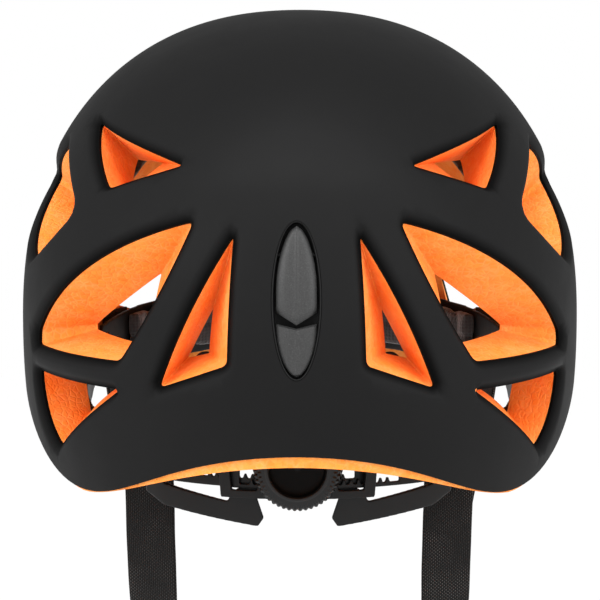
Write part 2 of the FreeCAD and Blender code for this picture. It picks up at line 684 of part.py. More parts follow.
def housing_screws():
    """Two screws that clamp the frame to the housing, beside the pinion."""
    frame_r, _, _, plate_r = layer_radii()
    shapes, holes = [], []
    for x in (-BLOCK_HALF + 2.6, BLOCK_HALF - 2.6):
        z = BAND_Z + BAND_HALF + 0.3 + 2.2
        y0, y1 = RING_Y - frame_r + 2.6, RING_Y - plate_r - 0.9
        shapes.append(rod(1.9, (x, y0, z), (x, y0 - 1.3, z)).fuse(rod(1.0, (x, y0 - 1.3, z), (x, y1, z))))
        holes.append(rod(1.02, (x, y0 + 3, z), (x, y1 - 0.05, z)))
        holes.append(rod(2.0, (x, y0 + 3, z), (x, y0 - 1.32, z)))
    return shapes, holes


def housing():
    """Rear half of the dial housing: plate, top and bottom walls, the bar and the two hangers."""
    frame_r, _, _, plate_r = layer_radii()
    top, low = BAND_Z + BAND_HALF + 0.3, BAND_Z - BAND_HALF - 0.3
    plate = layer(plate_r, plate_r + PLATE_WALL).common(from_behind(
        across_block(low - BAR_THICK, top + BLOCK_LIP)))
    walls = layer(frame_r + FRAME_WALL + 0.05, plate_r + 0.2).common(fused([
        from_behind(across_block(top, top + BLOCK_LIP)),
        from_behind(across_block(low - BAR_THICK, low))]))
    bar = layer(plate_r, plate_r + PLATE_WALL).common(from_behind(
        [(-EAR_X, low - BAR_THICK), (EAR_X, low - BAR_THICK), (EAR_X, low), (-EAR_X, low)]))
    middle_r = plate_r + PLATE_WALL / 2
    hangers = []
    for side in (-1, 1):
        knee_x = EAR_X + 1.5
        ear_y = on_circle(middle_r, EAR_X)
        path = [(EAR_X - 0.3, ear_y, low - BAR_THICK), (EAR_X, ear_y, low),
                (knee_x, on_circle(middle_r, knee_x) - 0.6, top - 2), HANGER_TOP]
        sections = []
        for x, y, z in path:
            c = Vector(side * x, y, z)
            out = Vector(side * x, y - RING_Y, 0).normalize()
            a, o = Vector(-out.y, out.x, 0) * (HANGER_WIDTH / 2), out * (PLATE_WALL / 2)
            sections.append(Part.makePolygon([c - a - o, c + a - o, c + a + o, c - a + o, c - a - o]))
        hangers.append(Part.makeLoft(sections, True, True))
        x, y, z = HANGER_TOP
        wall_y = -cavity()[1] * sqrt(1 - (x / cavity()[0]) ** 2)
        hangers.append(rod(4.2, (side * x, y + 0.9, z), (side * x, y - 0.9, z)))
        hangers.append(rod(2.2, (side * x, y - 0.8, z), (side * x, wall_y + 2.0, z)))
    plate_y = RING_Y - plate_r
    shaft_hole = rod(SHAFT_R + RUNNING_GAP, (0, plate_y + 2, BAND_Z), (0, plate_y - 4, BAND_Z))
    return fused([plate, walls, bar] + hangers).cut(Part.Compound([shaft_hole] + housing_screws()[1]))


def nape_frame():
    """Head-side half: a plate behind the bands, and the two wings that cup the nape."""
    frame_r, left_r, _, _ = layer_radii()
    top, low = BAND_Z + BAND_HALF + 0.3, BAND_Z - BAND_HALF - 0.3
    wall = layer(frame_r, frame_r + FRAME_WALL)
    block = from_behind(across_block(low - BAR_THICK, top + BLOCK_LIP))
    wing_r = from_behind(WING)
    wing_l = from_behind([(-x, z) for x, z in WING])
    screw_head = rod(3.2, (0, RING_Y, BAND_Z), (0, RING_Y - left_r, BAND_Z))
    body = wall.common(fused([block, wing_r, wing_l]))
    return body.cut(Part.Compound([screw_head] + housing_screws()[1]))


def nape_pad():
    frame_r = layer_radii()[0]
    outline_x_z = [(-17, -46), (17, -46), (19, -34), (-19, -34)]
    pad = layer(frame_r - 3.4, frame_r - 0.2).common(from_behind(outline_x_z))
    clear = rod(4.2, (0, RING_Y, BAND_Z), (0, RING_Y - frame_r, BAND_Z))
    return pad.cut(clear)


def headband():
    """Band round the brow with an arm down each side, ending in a sleeve that its rack band slides in."""
    frame_r, _, _, plate_r = layer_radii()
    low, high = BAND_Z - BAND_HALF - 0.3, BAND_Z + BAND_HALF + 0.3
    wall = 1.5
    side_view = [(-50, low - wall), (-50, high + wall), (-33, high + wall), (8, -19), (26, -7), (62, -4),
                 (112, -2), (112, -27), (62, -30), (26, -22), (10, -30), (-30, low - wall)]
    band = ring_layer(plate_r, plate_r + HEADBAND_WALL).common(from_the_side(side_view))
    sleeves = []
    for side in (-1, 1):
        span = (-65, -57) if side < 0 else (57, 65)
        outer = layer(frame_r, plate_r + 0.3).common(wedge(*span, low - wall, high + wall))
        sleeves.append(outer.cut(layer(frame_r + FRAME_WALL, plate_r, low, high)))
    outside, middle = (-plate_r - 5, TEMPLE_Y, TEMPLE_Z), (-RING_R / 2, TEMPLE_Y, TEMPLE_Z)
    shaft_hole = rod(TEMPLE_SHAFT_R + RUNNING_GAP, outside, middle)
    return fused([band] + sleeves).cut(Part.Compound([shaft_hole, mirrored(shaft_hole)]))


def brow_pad():
    plate_r = layer_radii()[3]
    side_view = [(52, -6), (112, -4), (112, -25), (52, -27)]
    return ring_layer(plate_r - 4.6, plate_r - 0.2).common(from_the_side(side_view))


# --- webbing ------------------------------------------------------------------------------------
def ribbon(stations, width=STRAP_WIDTH, thick=STRAP_THICK):
    """Flat webbing through stations of (centre, direction of the width)."""
    centres = [Vector(*c) for c, _ in stations]
    sections = []
    for i, (c, across) in enumerate(stations):
        along = centres[min(i + 1, len(centres) - 1)] - centres[max(i - 1, 0)]
        a = Vector(*across)
        a = (a - along * (a.dot(along) / along.dot(along))).normalize()
        n = a.cross(along).normalize()
        c, a, n = centres[i], a * (width / 2), n * (thick / 2)
        sections.append(Part.makePolygon([c - a - n, c + a - n, c + a + n, c - a + n, c - a - n]))
    return Part.makeLoft(sections, True, True)


def chin_strap():
    """The hanging strap, carried on over the buckle's end bar and down into its slot."""
    x, y, z = BUCKLE_AT
    end = x - BUCKLE_LENGTH / 2
    over = BAR_HEIGHT / 2 + STRAP_THICK / 2 + BUCKLE_FIT
    slot = end + BAR_WIDTH + BAR_SLOT / 2
    flat = (0, 1, 0)
    return CHIN_HANG + [((end - 3.5, y, z + over + 1.2), flat), ((end + 0.3, y, z + over), flat),
                        ((slot - 0.9, y, z + over), flat), ((slot, y, z + over - 2.2), flat)]


def divider():
    """A slide plate below the ear: the two legs enter its top slots and the chin strap its lower one."""
    x, y, z = DIVIDER_AT
    t, w, h = DIVIDER_SIZE
    plate = box_between((x - t / 2, y - w / 2, z - h / 2), (x + t / 2, y + w / 2, z + h / 2))
    plate = plate.makeFillet(2.0, [e for e in plate.Edges if abs(e.tangentAt(e.FirstParameter).x) > 0.9])
    slot = STRAP_THICK + 0.5
    legs = []
    for stations in (REAR_STRAP, FRONT_STRAP):
        end, across = stations[-1]
        before = stations[-2][0]
        run = (Vector(*end) - Vector(*before)).normalize() * 1.2
        further = Vector(*end) + run
        legs.append(ribbon(stations[:-1] + [(end, across), ((further.x, further.y, further.z), across)],
                           STRAP_WIDTH + 0.8, slot))
    lower = box_between((x - slot / 2, y - STRAP_WIDTH / 2 - 0.3, z - h / 2 - 1),
                        (x + slot / 2, y + STRAP_WIDTH / 2 + 0.3, z - h / 2 + 2.5))
    return plate.cut(Part.Compound(legs + [lower]))


def buckle_end(end, sign):
    """What a strap end takes out of a block: the room over and under its bar, and the slot beside it."""
    _, y, z = BUCKLE_AT
    half_y, half_z = STRAP_WIDTH / 2 + 0.6, BUCKLE_THICK / 2 + 1
    bar_in, slot_in = end + sign * BAR_WIDTH, end + sign * (BAR_WIDTH + BAR_SLOT)
    xs = sorted((end - sign, slot_in))
    over = box_between((xs[0], y - half_y, z + BAR_HEIGHT / 2), (xs[1], y + half_y, z + half_z))
    under = box_between((xs[0], y - half_y, z - half_z), (xs[1], y + half_y, z - BAR_HEIGHT / 2))
    xs = sorted((bar_in, slot_in))
    slot = box_between((xs[0], y - half_y, z - half_z), (xs[1], y + half_y, z + half_z))
    return fused([over, under, slot])


def buckle():
    """Socket on the right, plug on the left, closed: the prongs lie in the socket's open sides."""
    x, y, z = BUCKLE_AT
    w, t = BUCKLE_WIDTH / 2, BUCKLE_THICK / 2
    left, right = x - BUCKLE_LENGTH / 2, x + BUCKLE_LENGTH / 2
    mouth = right - SOCKET_LENGTH
    wall, fit, corner = BUCKLE_WALL, BUCKLE_FIT, 2.2

    def block(x0, x1):
        body = box_between((x0, y - w, z - t), (x1, y + w, z + t))
        long_edges = [e for e in body.Edges if abs(e.tangentAt(e.FirstParameter).x) > 0.9]
        return body.makeFillet(corner, long_edges)

    throat = box_between((mouth - 1, y - w + wall, z - t + wall), (mouth + 22, y + w - wall, z + t - wall))
    windows = box_between((mouth - 1, y - w - 1, z - t + wall), (mouth + 17.8, y + w + 1, z + t - wall))
    socket = block(mouth, right).cut(Part.Compound([throat, windows, buckle_end(right, -1)]))

    face = mouth - 0.4
    base = block(left, face).cut(buckle_end(left, 1))
    half = t - wall - fit
    reach = w - wall - fit
    guide = box_between((face - 0.2, y - 2.5, z - half), (mouth + 18, y + 2.5, z + half))
    profile = [(face - 0.2, 4.4), (mouth + 18.5, reach - 4.6), (mouth + 19.5, reach - 1.5),
               (mouth + 15.6, w - 0.4), (mouth + 6.8, w - 0.4), (mouth + 6.4, reach - 1.0),
               (mouth, reach - 2.2), (face - 0.2, reach - 1.6)]
    prongs = []
    for s in (-1, 1):
        loop = [Vector(px, y + s * py, z - half) for px, py in profile]
        prongs.append(Part.Face(Part.makePolygon(loop + loop[:1])).extrude(Vector(0, 0, 2 * half)))
    return socket, fused([base, guide] + prongs)


def outward(stations, i):
    """Direction away from the head, across a chin strap's thickness."""
    run = Vector(*stations[i + 1][0]) - Vector(*stations[i - 1][0])
    return Vector(run.z, 0, -run.x).normalize()


def chin_tail():
    """Stations of the loose end on the left: along the strap's outside, then round under the bar."""
    strap = chin_strap()
    x, y, z = BUCKLE_AT
    end = x - BUCKLE_LENGTH / 2
    under = BAR_HEIGHT / 2 + STRAP_THICK / 2 + BUCKLE_FIT
    slot = end + BAR_WIDTH + BAR_SLOT / 2
    points = []
    for i in (2, 3, 4):
        p = Vector(*strap[i][0]) + outward(strap, i) * (STRAP_THICK + TAIL_GAP)
        points.append((p.x, p.y, p.z))
    points += [(end - 1.5, y, z - under), (slot - 0.9, y, z - under), (slot, y, z - under + 1.6)]
    return [(p, (0, 1, 0)) for p in points]


def keeper():
    """Rubber loop round the right strap and its tail."""
    strap = chin_strap()
    upper, lower = Vector(*strap[2][0]), Vector(*strap[3][0])
    run = (lower - upper).normalize()
    out = Vector(run.z, 0, -run.x)
    mid = (upper + lower) / 2 + out * ((STRAP_THICK + TAIL_GAP) / 2)
    half_w, half_t = STRAP_WIDTH / 2 + KEEPER_GAP, STRAP_THICK + TAIL_GAP / 2 + KEEPER_GAP

    def slab(w, t, extra):
        across, o = Vector(0, w, 0), out * t
        start = mid - run * (KEEPER_LENGTH / 2 + extra)
        loop = [start - across - o, start + across - o, start + across + o, start - across + o]
        loop.append(loop[0])
        return Part.Face(Part.makePolygon(loop)).extrude(run * (KEEPER_LENGTH + 2 * extra))

    return mirrored(slab(half_w + KEEPER_WALL, half_t + KEEPER_WALL, 0).cut(slab(half_w, half_t, 1)))


# --- everything ---------------------------------------------------------------------------------
def build():
    nodes = {}
    outer = bell(inset(0), -70)
    bonded = bell(inset(SHELL_WALL), -71)
    foam_face = bell(inset(SHELL_WALL + BOND_GAP), -70)
    hollow = bell(cavity(), -71)
    vents = vent_cutters()
    nodes["outer_shell"] = outer.cut([bonded, below_rim(SHELL_RIM)] + vents + clip_pockets(0))
    anchor_shapes, anchor_holes = anchors()
    pin, pin_holes = temple_pin()
    holes = anchor_holes + pin_holes + [mirrored(h) for h in pin_holes] + [dial_recess()]
    edges = [below_rim(FOAM_RIM), nape_undercut()]
    nodes["foam_liner"] = foam_face.cut([hollow] + edges + vents + clip_pockets(0.05) + holes)
    nodes["crown_pads"] = crown_pads()
    nodes["strap_anchors"] = Part.Compound(anchor_shapes)
    nodes["temple_pin_left"] = pin
    nodes["temple_pin_right"] = mirrored(pin)

    for name, (az, el, w, h) in CLIPS.items():
        tray, flap, tongue, hinge_pin, _ = clip(az, el, w, h)
        nodes[name + "_clip_base"] = tray
        nodes[name + "_clip_flap"] = flap
        nodes[name + "_clip_tongue"] = tongue
        nodes[name + "_clip_pin"] = hinge_pin

    nodes["headband"] = headband()
    nodes["brow_pad"] = brow_pad()
    nodes["dial_housing"] = housing()
    nodes["nape_frame"] = nape_frame()
    nodes["nape_pad"] = nape_pad()
    nodes["housing_screws"] = Part.Compound(housing_screws()[0])
    nodes["rack_band_left"] = rack_band(-1)
    nodes["rack_band_right"] = rack_band(1)
    nodes["dial_knob"], nodes["dial_pinion"], nodes["dial_screw"] = dial()

    straps = {"rear_strap": REAR_STRAP, "front_strap": FRONT_STRAP, "chin_strap": chin_strap()}
    for name, stations in straps.items():
        strap = ribbon(stations)
        nodes[name + "_left"] = strap
        nodes[name + "_right"] = mirrored(strap)
    plate = divider()
    nodes["divider_left"] = plate
    nodes["divider_right"] = mirrored(plate)
    nodes["buckle_socket"], nodes["buckle_plug"] = buckle()
    nodes["chin_strap_tail"] = mirrored(ribbon(chin_tail()))
    nodes["strap_keeper"] = keeper()
    return nodes


def main():
    os.makedirs("parts", exist_ok=True)
    for name, shape in build().items():
        solids = shape.Solids
        for s in solids:
            if not s.isValid() or s.Volume <= 0:
                print("check", name, s.isValid(), round(s.Volume, 2))
        print(name, len(solids), round(sum(s.Volume for s in solids), 1))
        whole = solids[0] if len(solids) == 1 else Part.Compound(solids)
        whole.exportStep("parts/" + name + ".step")


main()
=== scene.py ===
from contextlib import contextmanager
import json
from math import cos, pi, radians, sin, sqrt

import bmesh
import bpy
import numpy as np
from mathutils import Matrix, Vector
from mathutils.geometry import delaunay_2d_cdt


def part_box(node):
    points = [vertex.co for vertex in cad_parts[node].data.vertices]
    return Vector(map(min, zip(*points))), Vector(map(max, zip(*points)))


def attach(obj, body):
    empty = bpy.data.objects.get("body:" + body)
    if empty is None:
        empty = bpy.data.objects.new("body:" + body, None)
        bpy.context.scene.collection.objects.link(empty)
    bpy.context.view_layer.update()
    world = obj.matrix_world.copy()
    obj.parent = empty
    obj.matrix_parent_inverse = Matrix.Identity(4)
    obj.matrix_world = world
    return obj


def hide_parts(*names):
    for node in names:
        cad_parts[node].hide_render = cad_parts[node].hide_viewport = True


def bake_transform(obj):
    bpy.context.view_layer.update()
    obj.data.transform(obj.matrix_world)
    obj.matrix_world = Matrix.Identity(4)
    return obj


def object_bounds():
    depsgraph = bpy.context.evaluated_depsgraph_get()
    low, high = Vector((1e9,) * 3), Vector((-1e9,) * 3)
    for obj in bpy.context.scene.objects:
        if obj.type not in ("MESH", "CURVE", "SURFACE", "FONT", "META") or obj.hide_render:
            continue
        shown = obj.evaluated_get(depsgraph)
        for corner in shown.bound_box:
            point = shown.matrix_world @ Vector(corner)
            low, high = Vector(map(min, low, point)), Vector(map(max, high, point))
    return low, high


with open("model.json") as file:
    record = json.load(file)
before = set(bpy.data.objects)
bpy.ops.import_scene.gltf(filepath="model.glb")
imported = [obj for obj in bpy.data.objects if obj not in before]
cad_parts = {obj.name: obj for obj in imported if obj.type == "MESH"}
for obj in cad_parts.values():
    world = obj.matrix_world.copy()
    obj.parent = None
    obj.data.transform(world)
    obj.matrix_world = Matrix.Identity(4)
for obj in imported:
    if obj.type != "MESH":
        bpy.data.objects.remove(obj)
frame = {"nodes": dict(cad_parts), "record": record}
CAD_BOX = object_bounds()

MM = 0.001

# --- form of the helmet, in millimetres and degrees ---------------------------------------------
# Directions are (azimuth from the nape, elevation), seen from the centre of the head cavity
ROUNDNESS = 2.27
SKIN = (107.0, 130.0, 144.0, 119.0, 140.0)
CAVITY = (86.0, 104.0, 116.0, 93.5, 200.0)
SHELL_WALL = 1.1
FOAM_GAP = 0.12
SHELL_RIM = [(-165, -16.3), (-80, -51.5), (10, -16.0), (80, -33.0), (165, -22.0)]
FOAM_RIM = [(-165, -20.5), (-80, -52.7), (10, -17.5), (80, -34.5), (165, -25.5)]

# Each vent: corners on the skin, bows of its edges, corner radii (mm), the matching corners of its hole
# in the cavity, and the tips of the creases that run out of it, each with the corner it starts from
VENTS = {
    "rear_upper": ([(58, 42.5), (22.6, 33.1), (40.8, 29.1)], [0.5, 0, 0], [2.5, 2.5, 3],
                   [(60, 43), (43, 42), (52, 35.5)],
                   [(0, (68.4, 44.1)), (1, (17.5, 33)), (2, (42.8, 27.3))]),
    "rear_side": ([(18.3, 23.4), (63.8, 1.2), (64.2, -1.6), (32.1, -0.4)], [3.2, 0, 0, 1.2], [3, 2, 2, 3],
                  [(31, 16.5), (55.5, 3.2), (55.3, 2.0), (33.5, 1.0)], [(0, (13.6, 27.6)), (1, (70, 0))]),
    "rear_small": ([(10.7, 21.1), (23.6, -3.9), (11.2, 0.6)], [0.6, 0, 0], [2.2, 2.6, 2.2],
                   [(17.3, 9.7), (22.9, -0.5), (18, 0.8)], [(0, (8.6, 28.3)), (1, (27.4, -6.6))]),
    "rear_lower": ([(32, -5.2), (63.5, -6.5), (54.3, -19.4)], [0, 2.4, 0], [2.4, 3, 2],
                   [(43.5, -9), (68, -9), (62, -18.5)], [(0, (26.5, -3.6)), (2, (53.6, -21.5))]),
    "side": ([(50, 25), (73, 38), (104, 28), (72, 14.5)], [1, 1, 1, 1], [4, 4, 4, 4],
             [(63, 24.5), (76, 34), (96, 26), (77, 18.5)], [(2, (109, 29))]),
    "front_upper": ([(122, 42.5), (157, 33.1), (139, 29.1)], [0.5, 0, 0], [2.5, 2.5, 3],
                    [(120, 43), (137, 42), (128, 35.5)], [(0, (112, 44)), (1, (162, 33))]),
    "front_side": ([(161, 22), (149, -8), (116, 0)], [0, 0, 3], [3, 3, 3],
                   [(150, 15), (143, -6), (124, -1)], [(0, (166, 26)), (2, (110, -1))]),
    "front_small": ([(169, 24), (155.5, 3), (168.5, 7)], [0.6, 0, 0], [2.2, 2.2, 2.2],
                    [(163, 14), (157.5, 6), (162, 7.5)], [(0, (171, 30)), (1, (151.5, 0))]),
}
RECESS_DEPTH = 2.6
RECESS_WIDTH = 3.4
CREASE_ROOT = 5.0
EDGE_STEP = 2.0
SKIN_STEP = 1.45
INNER_STEP = 2.4
# Crest across the back, over the two upper vents
CREST_ELEVATION, CREST_RISE, CREST_SPAN = 31.5, 1.3, 30.0
# Behind, the foam's lower edge runs straight in from its outer edge: half axes of that edge, drop and reach
NAPE_HALF_LENGTH, NAPE_HALF_WIDTH, NAPE_DROP = 126.6, 104.2, 0.2
NAPE_END, NAPE_REACH = -45, 80
CLIP_POCKET = 9.0
EDGE_ROUND, EDGE_ROUND_SHARE = 0.9, 0.12
# Rings of extra points round each vent, and the mean radius that turns an error in height into degrees
SKIN_RINGS = (0.7, 1.6, 2.8, 4.2)
CAVITY_RINGS = (1.5,)
MEAN_RADIUS, RIM_ROUNDS, RIM_DAMPING = 130, 40, 0.8


def on_form(form, az, el):
    """Points of a form in the given directions."""
    width, rear, front, top, lower = form
    az, el = np.radians(az), np.radians(el)
    d = np.stack([np.cos(el) * np.sin(az), -np.cos(el) * np.cos(az), np.sin(el)], -1)
    flat = np.hypot(d[..., 0] / width, d[..., 1] / np.where(d[..., 1] < 0, rear, front))
    tall = np.abs(d[..., 2]) / np.where(d[..., 2] > 0, top, lower)
    return d * ((flat**ROUNDNESS + tall**ROUNDNESS) ** (-1 / ROUNDNESS))[..., None]


def normals_at(form, p):
    """Outward normals of a form at points on it."""
    width, rear, front, top, lower = form
    length = np.where(p[..., 1] < 0, rear, front)
    height = np.where(p[..., 2] > 0, top, lower)
    flat = np.maximum(np.hypot(p[..., 0] / width, p[..., 1] / length), 1e-4)
    ring = ROUNDNESS * flat ** (ROUNDNESS - 2)
    rise = ROUNDNESS * (np.abs(p[..., 2]) / height) ** (ROUNDNESS - 1) / height * np.sign(p[..., 2])
    n = np.stack([ring * p[..., 0] / width**2, ring * p[..., 1] / length**2, rise], -1)
    return n / np.linalg.norm(n, axis=-1, keepdims=True)


def rim_height(stations, y):
    """Height of a lower edge at y: level at each station, half cosines between."""
    y = np.asarray(y, float)
    z = np.full(y.shape, stations[0][1], float)
    for (y0, z0), (y1, z1) in zip(stations, stations[1:]):
        t = np.clip((y - y0) / (y1 - y0), 0, 1)
        z = np.where(y >= y0, z0 + (z1 - z0) * (1 - np.cos(pi * t)) / 2, z)
    return z


def foam_edge(p):
    """Height of the foam's lower edge at a point; behind, it runs straight in from the nape's edge."""
    side = rim_height(FOAM_RIM, p[:, 1])
    nape_y = -NAPE_HALF_LENGTH * np.sqrt(np.clip(1 - (p[:, 0] / NAPE_HALF_WIDTH) ** 2, 0, 1))
    nape = rim_height(FOAM_RIM, nape_y) - NAPE_DROP
    behind = (p[:, 1] < NAPE_END) & (np.abs(p[:, 0]) < NAPE_REACH)
    return np.where(behind, np.maximum(side, nape), side)


def direction_of(p):
    """Azimuth and elevation of points, in degrees."""
    level = np.hypot(p[:, 0], p[:, 1])
    return np.degrees(np.arctan2(p[:, 0], -p[:, 1])), np.degrees(np.arctan2(p[:, 2], level))


def ease(t):
    """A share from 0 to 1, made level at both ends."""
    return t * t * (3 - 2 * t)


def to_map(az, el):
    """The flat map of the dome: distance from its middle is the angle from the crown, in degrees."""
    rho, az = 90 - np.asarray(el, float), np.radians(az)
    return np.stack([rho * np.sin(az), -rho * np.cos(az)], -1)


def from_map(uv):
    """Azimuth and elevation of points of the map."""
    rho = np.hypot(uv[..., 0], uv[..., 1])
    return np.degrees(np.arctan2(uv[..., 0], -uv[..., 1])), 90 - rho


def inside(poly, pts):
    """Which points lie inside a polygon of the map."""
    x, y = pts[:, 0], pts[:, 1]
    hit = np.zeros(len(pts), bool)
    ax, ay = poly[:, 0], poly[:, 1]
    bx, by = np.roll(ax, -1), np.roll(ay, -1)
    for x0, y0, x1, y1 in zip(ax, ay, bx, by):
        if y0 != y1:
            crosses = (y0 > y) != (y1 > y)
            hit ^= crosses & (x < (x1 - x0) * (y - y0) / (y1 - y0) + x0)
    return hit


def distance(points, loop, closed=True):
    """Distance of 3-D points from a polyline."""
    best = np.full(len(points), 1e9)
    ends = np.roll(loop, -1, axis=0) if closed else loop[1:]
    for a, b in zip(loop, ends):
        ab = b - a
        t = np.clip((points - a) @ ab / max(ab @ ab, 1e-12), 0, 1)
        best = np.minimum(best, np.linalg.norm(points - a - t[:, None] * ab, axis=1))
    return best


def edge_points(corners, bows, radii, step):
    """An outline of the map (azimuth, elevation), its edges bowed and its corners rounded."""
    corners = np.array(corners, float)
    count = len(corners)
    middle = corners.mean(0)
    curves = []
    for i in range(count):
        a, b = corners[i], corners[(i + 1) % count]
        d = b - a
        n = np.array([d[1], -d[0]]) / np.hypot(*d)
        if ((a + b) / 2 - middle) @ n < 0:
            n = -n
        size = np.linalg.norm(on_form(SKIN, *a) - on_form(SKIN, *b))
        curves.append((a, d, n * bows[i] * 4, size))

    def at(i, t):
        a, d, n, _ = curves[i]
        return a + d * t + n * t * (1 - t)

    points = []
    for i in range(count):
        size = curves[i][3]
        r0, r1 = radii[i] / size, radii[(i + 1) % count] / size
        r0, r1 = min(r0, 0.45), min(r1, 0.45)
        before = curves[i - 1][3]
        start = at(i - 1, 1 - min(radii[i] / before, 0.45))
        end = at(i, r0)
        for t in np.linspace(0, 1, 6)[:-1]:
            points.append(start * (1 - t) ** 2 + corners[i] * 2 * t * (1 - t) + end * t * t)
        steps = max(1, int(round(size * (1 - r0 - r1) / step)))
        for t in np.linspace(r0, 1 - r1, steps + 1)[:-1]:
            points.append(at(i, t))
    return np.array(points)


class Vent:
    """One vent of one side: its outline on the skin, its hole in the cavity, and its creases."""

    def __init__(self, spec, side):
        corners, bows, radii, hole, creases = spec
        flip = np.array([side, 1.0])
        outer = edge_points(corners, bows, radii, EDGE_STEP)
        self.outer = outer * flip
        self.inner = self.matched(corners, outer, hole) * flip
        self.map = to_map(self.outer[:, 0], self.outer[:, 1])
        self.inner_map = to_map(self.inner[:, 0], self.inner[:, 1])
        self.line = on_form(SKIN, self.outer[:, 0], self.outer[:, 1])
        self.creases = []
        for corner, tip in creases:
            root = np.array(corners[corner], float)
            centre = np.mean(corners, axis=0)
            self.creases.append((on_form(SKIN, *((root * 0.8 + centre * 0.2) * flip)),
                                 on_form(SKIN, *(np.array(tip, float) * flip))))

    @staticmethod
    def matched(corners, outer, hole):
        """The hole's outline, point for point with the outer one, from weights of the outer corners."""
        corners, hole = np.array(corners, float), np.array(hole, float)
        count = len(corners)
        result = []
        for p in outer:
            w = np.zeros(count)
            for i in range(count):
                a, b = corners[i], corners[(i + 1) % count]
                d = b - a
                t = np.clip((p - a) @ d / (d @ d), 0, 1)
                gap = np.hypot(*(a + d * t - p)) + 0.05
                w[i] += (1 - t) / gap**2.5
                w[(i + 1) % count] += t / gap**2.5
            result.append((w / w.sum()) @ hole)
        return np.array(result)

    def sunk(self, points, uv):
        """How deep the skin is drawn in at each point, 0 to 1."""
        near = np.linalg.norm(points - self.line.mean(0), axis=1) < 75
        depth = np.zeros(len(points))
        if not near.any():
            return depth
        p = points[near]
        hole = distance(p, self.line)
        hole[inside(self.map, uv[near])] = 0
        free = RECESS_WIDTH - hole
        for root, tip in self.creases:
            axis = tip - root
            t = np.clip((p - root) @ axis / (axis @ axis), 0, 1)
            off = np.linalg.norm(p - root - t[:, None] * axis, axis=1)
            free = np.maximum(free, (CREASE_ROOT * (1 - t)) - off)
        free = np.maximum(free, 0)
        share = free / (free + hole + 1e-6)
        depth[near] = ease(share)
        return depth


ALL_VENTS = [Vent(spec, side) for spec in VENTS.values() for side in (1, -1)]


def drawn_in(points, uv):
    """Depth of the skin's relief at each point, in millimetres; the crest stands out."""
    depth = np.zeros(len(points))
    for vent in ALL_VENTS:
        depth = np.maximum(depth, vent.sunk(points, uv))
    az, el = from_map(uv)
    across = ease(np.clip(1 - np.abs(az) / CREST_SPAN, 0, 1))
    off = el - CREST_ELEVATION
    ridge = np.where(off > 0, np.exp(-((off / 9.0) ** 2)), np.exp(-((off / 3.6) ** 2)))
    return depth * RECESS_DEPTH - across * ridge * CREST_RISE


def rim_loop(form, stations, depth, step=2.2):
    """The lower edge of a form, as directions round it."""
    azimuths = np.arange(-180, 180, step)
    els = np.full(azimuths.shape, -20.0)
    for _ in range(RIM_ROUNDS):
        p = on_form(form, azimuths, els)
        if depth:
            p = p - normals_at(form, p) * depth
        gap = p[:, 2] - (foam_edge(p) if stations is FOAM_RIM else rim_height(stations, p[:, 1]))
        els = els - np.degrees(gap / MEAN_RADIUS) * RIM_DAMPING
    return np.stack([azimuths, els], -1)


def ring_outside(vent_map, form, gap):
    """Points of the map a little outside an outline, gap millimetres off on the form."""
    ahead, behind = np.roll(vent_map, -1, axis=0), np.roll(vent_map, 1, axis=0)
    t = ahead - behind
    n = np.stack([t[:, 1], -t[:, 0]], -1) / np.linalg.norm(t, axis=1, keepdims=True)
    probe = 0.2
    test = vent_map + n * probe
    if inside(vent_map, test).mean() > 0.5:
        n, test = -n, vent_map - n * probe
    size = np.linalg.norm(on_form(form, *from_map(test)) - on_form(form, *from_map(vent_map)), axis=1)
    return vent_map + n * (probe * gap / size)[:, None]


def triangulate(form, holes, rim, step, rings):
    """Triangles over the map, inside the rim and outside the holes: map points, faces, loops of indices."""
    loops = [rim] + holes
    fixed = np.concatenate(loops)
    taken = fixed
    for gap in rings:
        for loop in holes:
            new = ring_outside(loop, form, gap)
            new = new[inside(rim, new)]
            for other in holes:
                new = new[~inside(other, new)]
            far = np.array([np.min(np.hypot(*(taken - q).T)) for q in new]) > 0.32 * min(gap, 2.0)
            taken = np.concatenate([taken, new[far]])
    reach = np.abs(rim).max() + step
    rows = []
    for j, v in enumerate(np.arange(-reach, reach, step * sqrt(3) / 2)):
        us = np.arange(-reach, reach, step) + (step / 2 if j % 2 else 0)
        rows.append(np.stack([us, np.full(us.shape, v)], -1))
    grid = np.concatenate(rows)
    grid = grid[inside(rim, grid)]
    for loop in holes:
        grid = grid[~inside(loop, grid)]
    clear = np.ones(len(grid), bool)
    for start in range(0, len(grid), 2000):
        part = grid[start:start + 2000]
        d2 = ((part[:, None, :] - taken[None, :, :]) ** 2).sum(-1).min(1)
        clear[start:start + 2000] = d2 > (0.62 * step) ** 2
    points = np.concatenate([taken, grid[clear]])
    edges, at = [], 0
    for loop in loops:
        n = len(loop)
        edges += [(at + i, at + (i + 1) % n) for i in range(n)]
        at += n
    verts, _, faces, origins, _, _ = delaunay_2d_cdt([Vector(p) for p in points], edges, [], 0, 1e-6)
    verts = np.array([tuple(v) for v in verts])
    where = {}
    for new, olds in enumerate(origins):
        for old in olds:
            where[old] = new
    faces = np.array([f for f in faces if len(f) == 3])
    middles = verts[faces].mean(1)
    keep = inside(rim, middles)
    for loop in holes:
        keep &= ~inside(loop, middles)
    faces = faces[keep]
    indices, at = [], 0
    for loop in loops:
        indices.append([where[at + i] for i in range(len(loop))])
        at += len(loop)
    return verts, faces, indices


def placed(name, data):
    """A new object in the scene."""
    obj = bpy.data.objects.new(name, data)
    bpy.context.scene.collection.objects.link(obj)
    return obj


def shade_smooth(mesh):
    mesh.polygons.foreach_set("use_smooth", [True] * len(mesh.polygons))


def read(vertices, key):
    """A vector of each vertex, as rows."""
    values = np.zeros(len(vertices) * 3)
    vertices.foreach_get(key, values)
    return values.reshape(-1, 3)


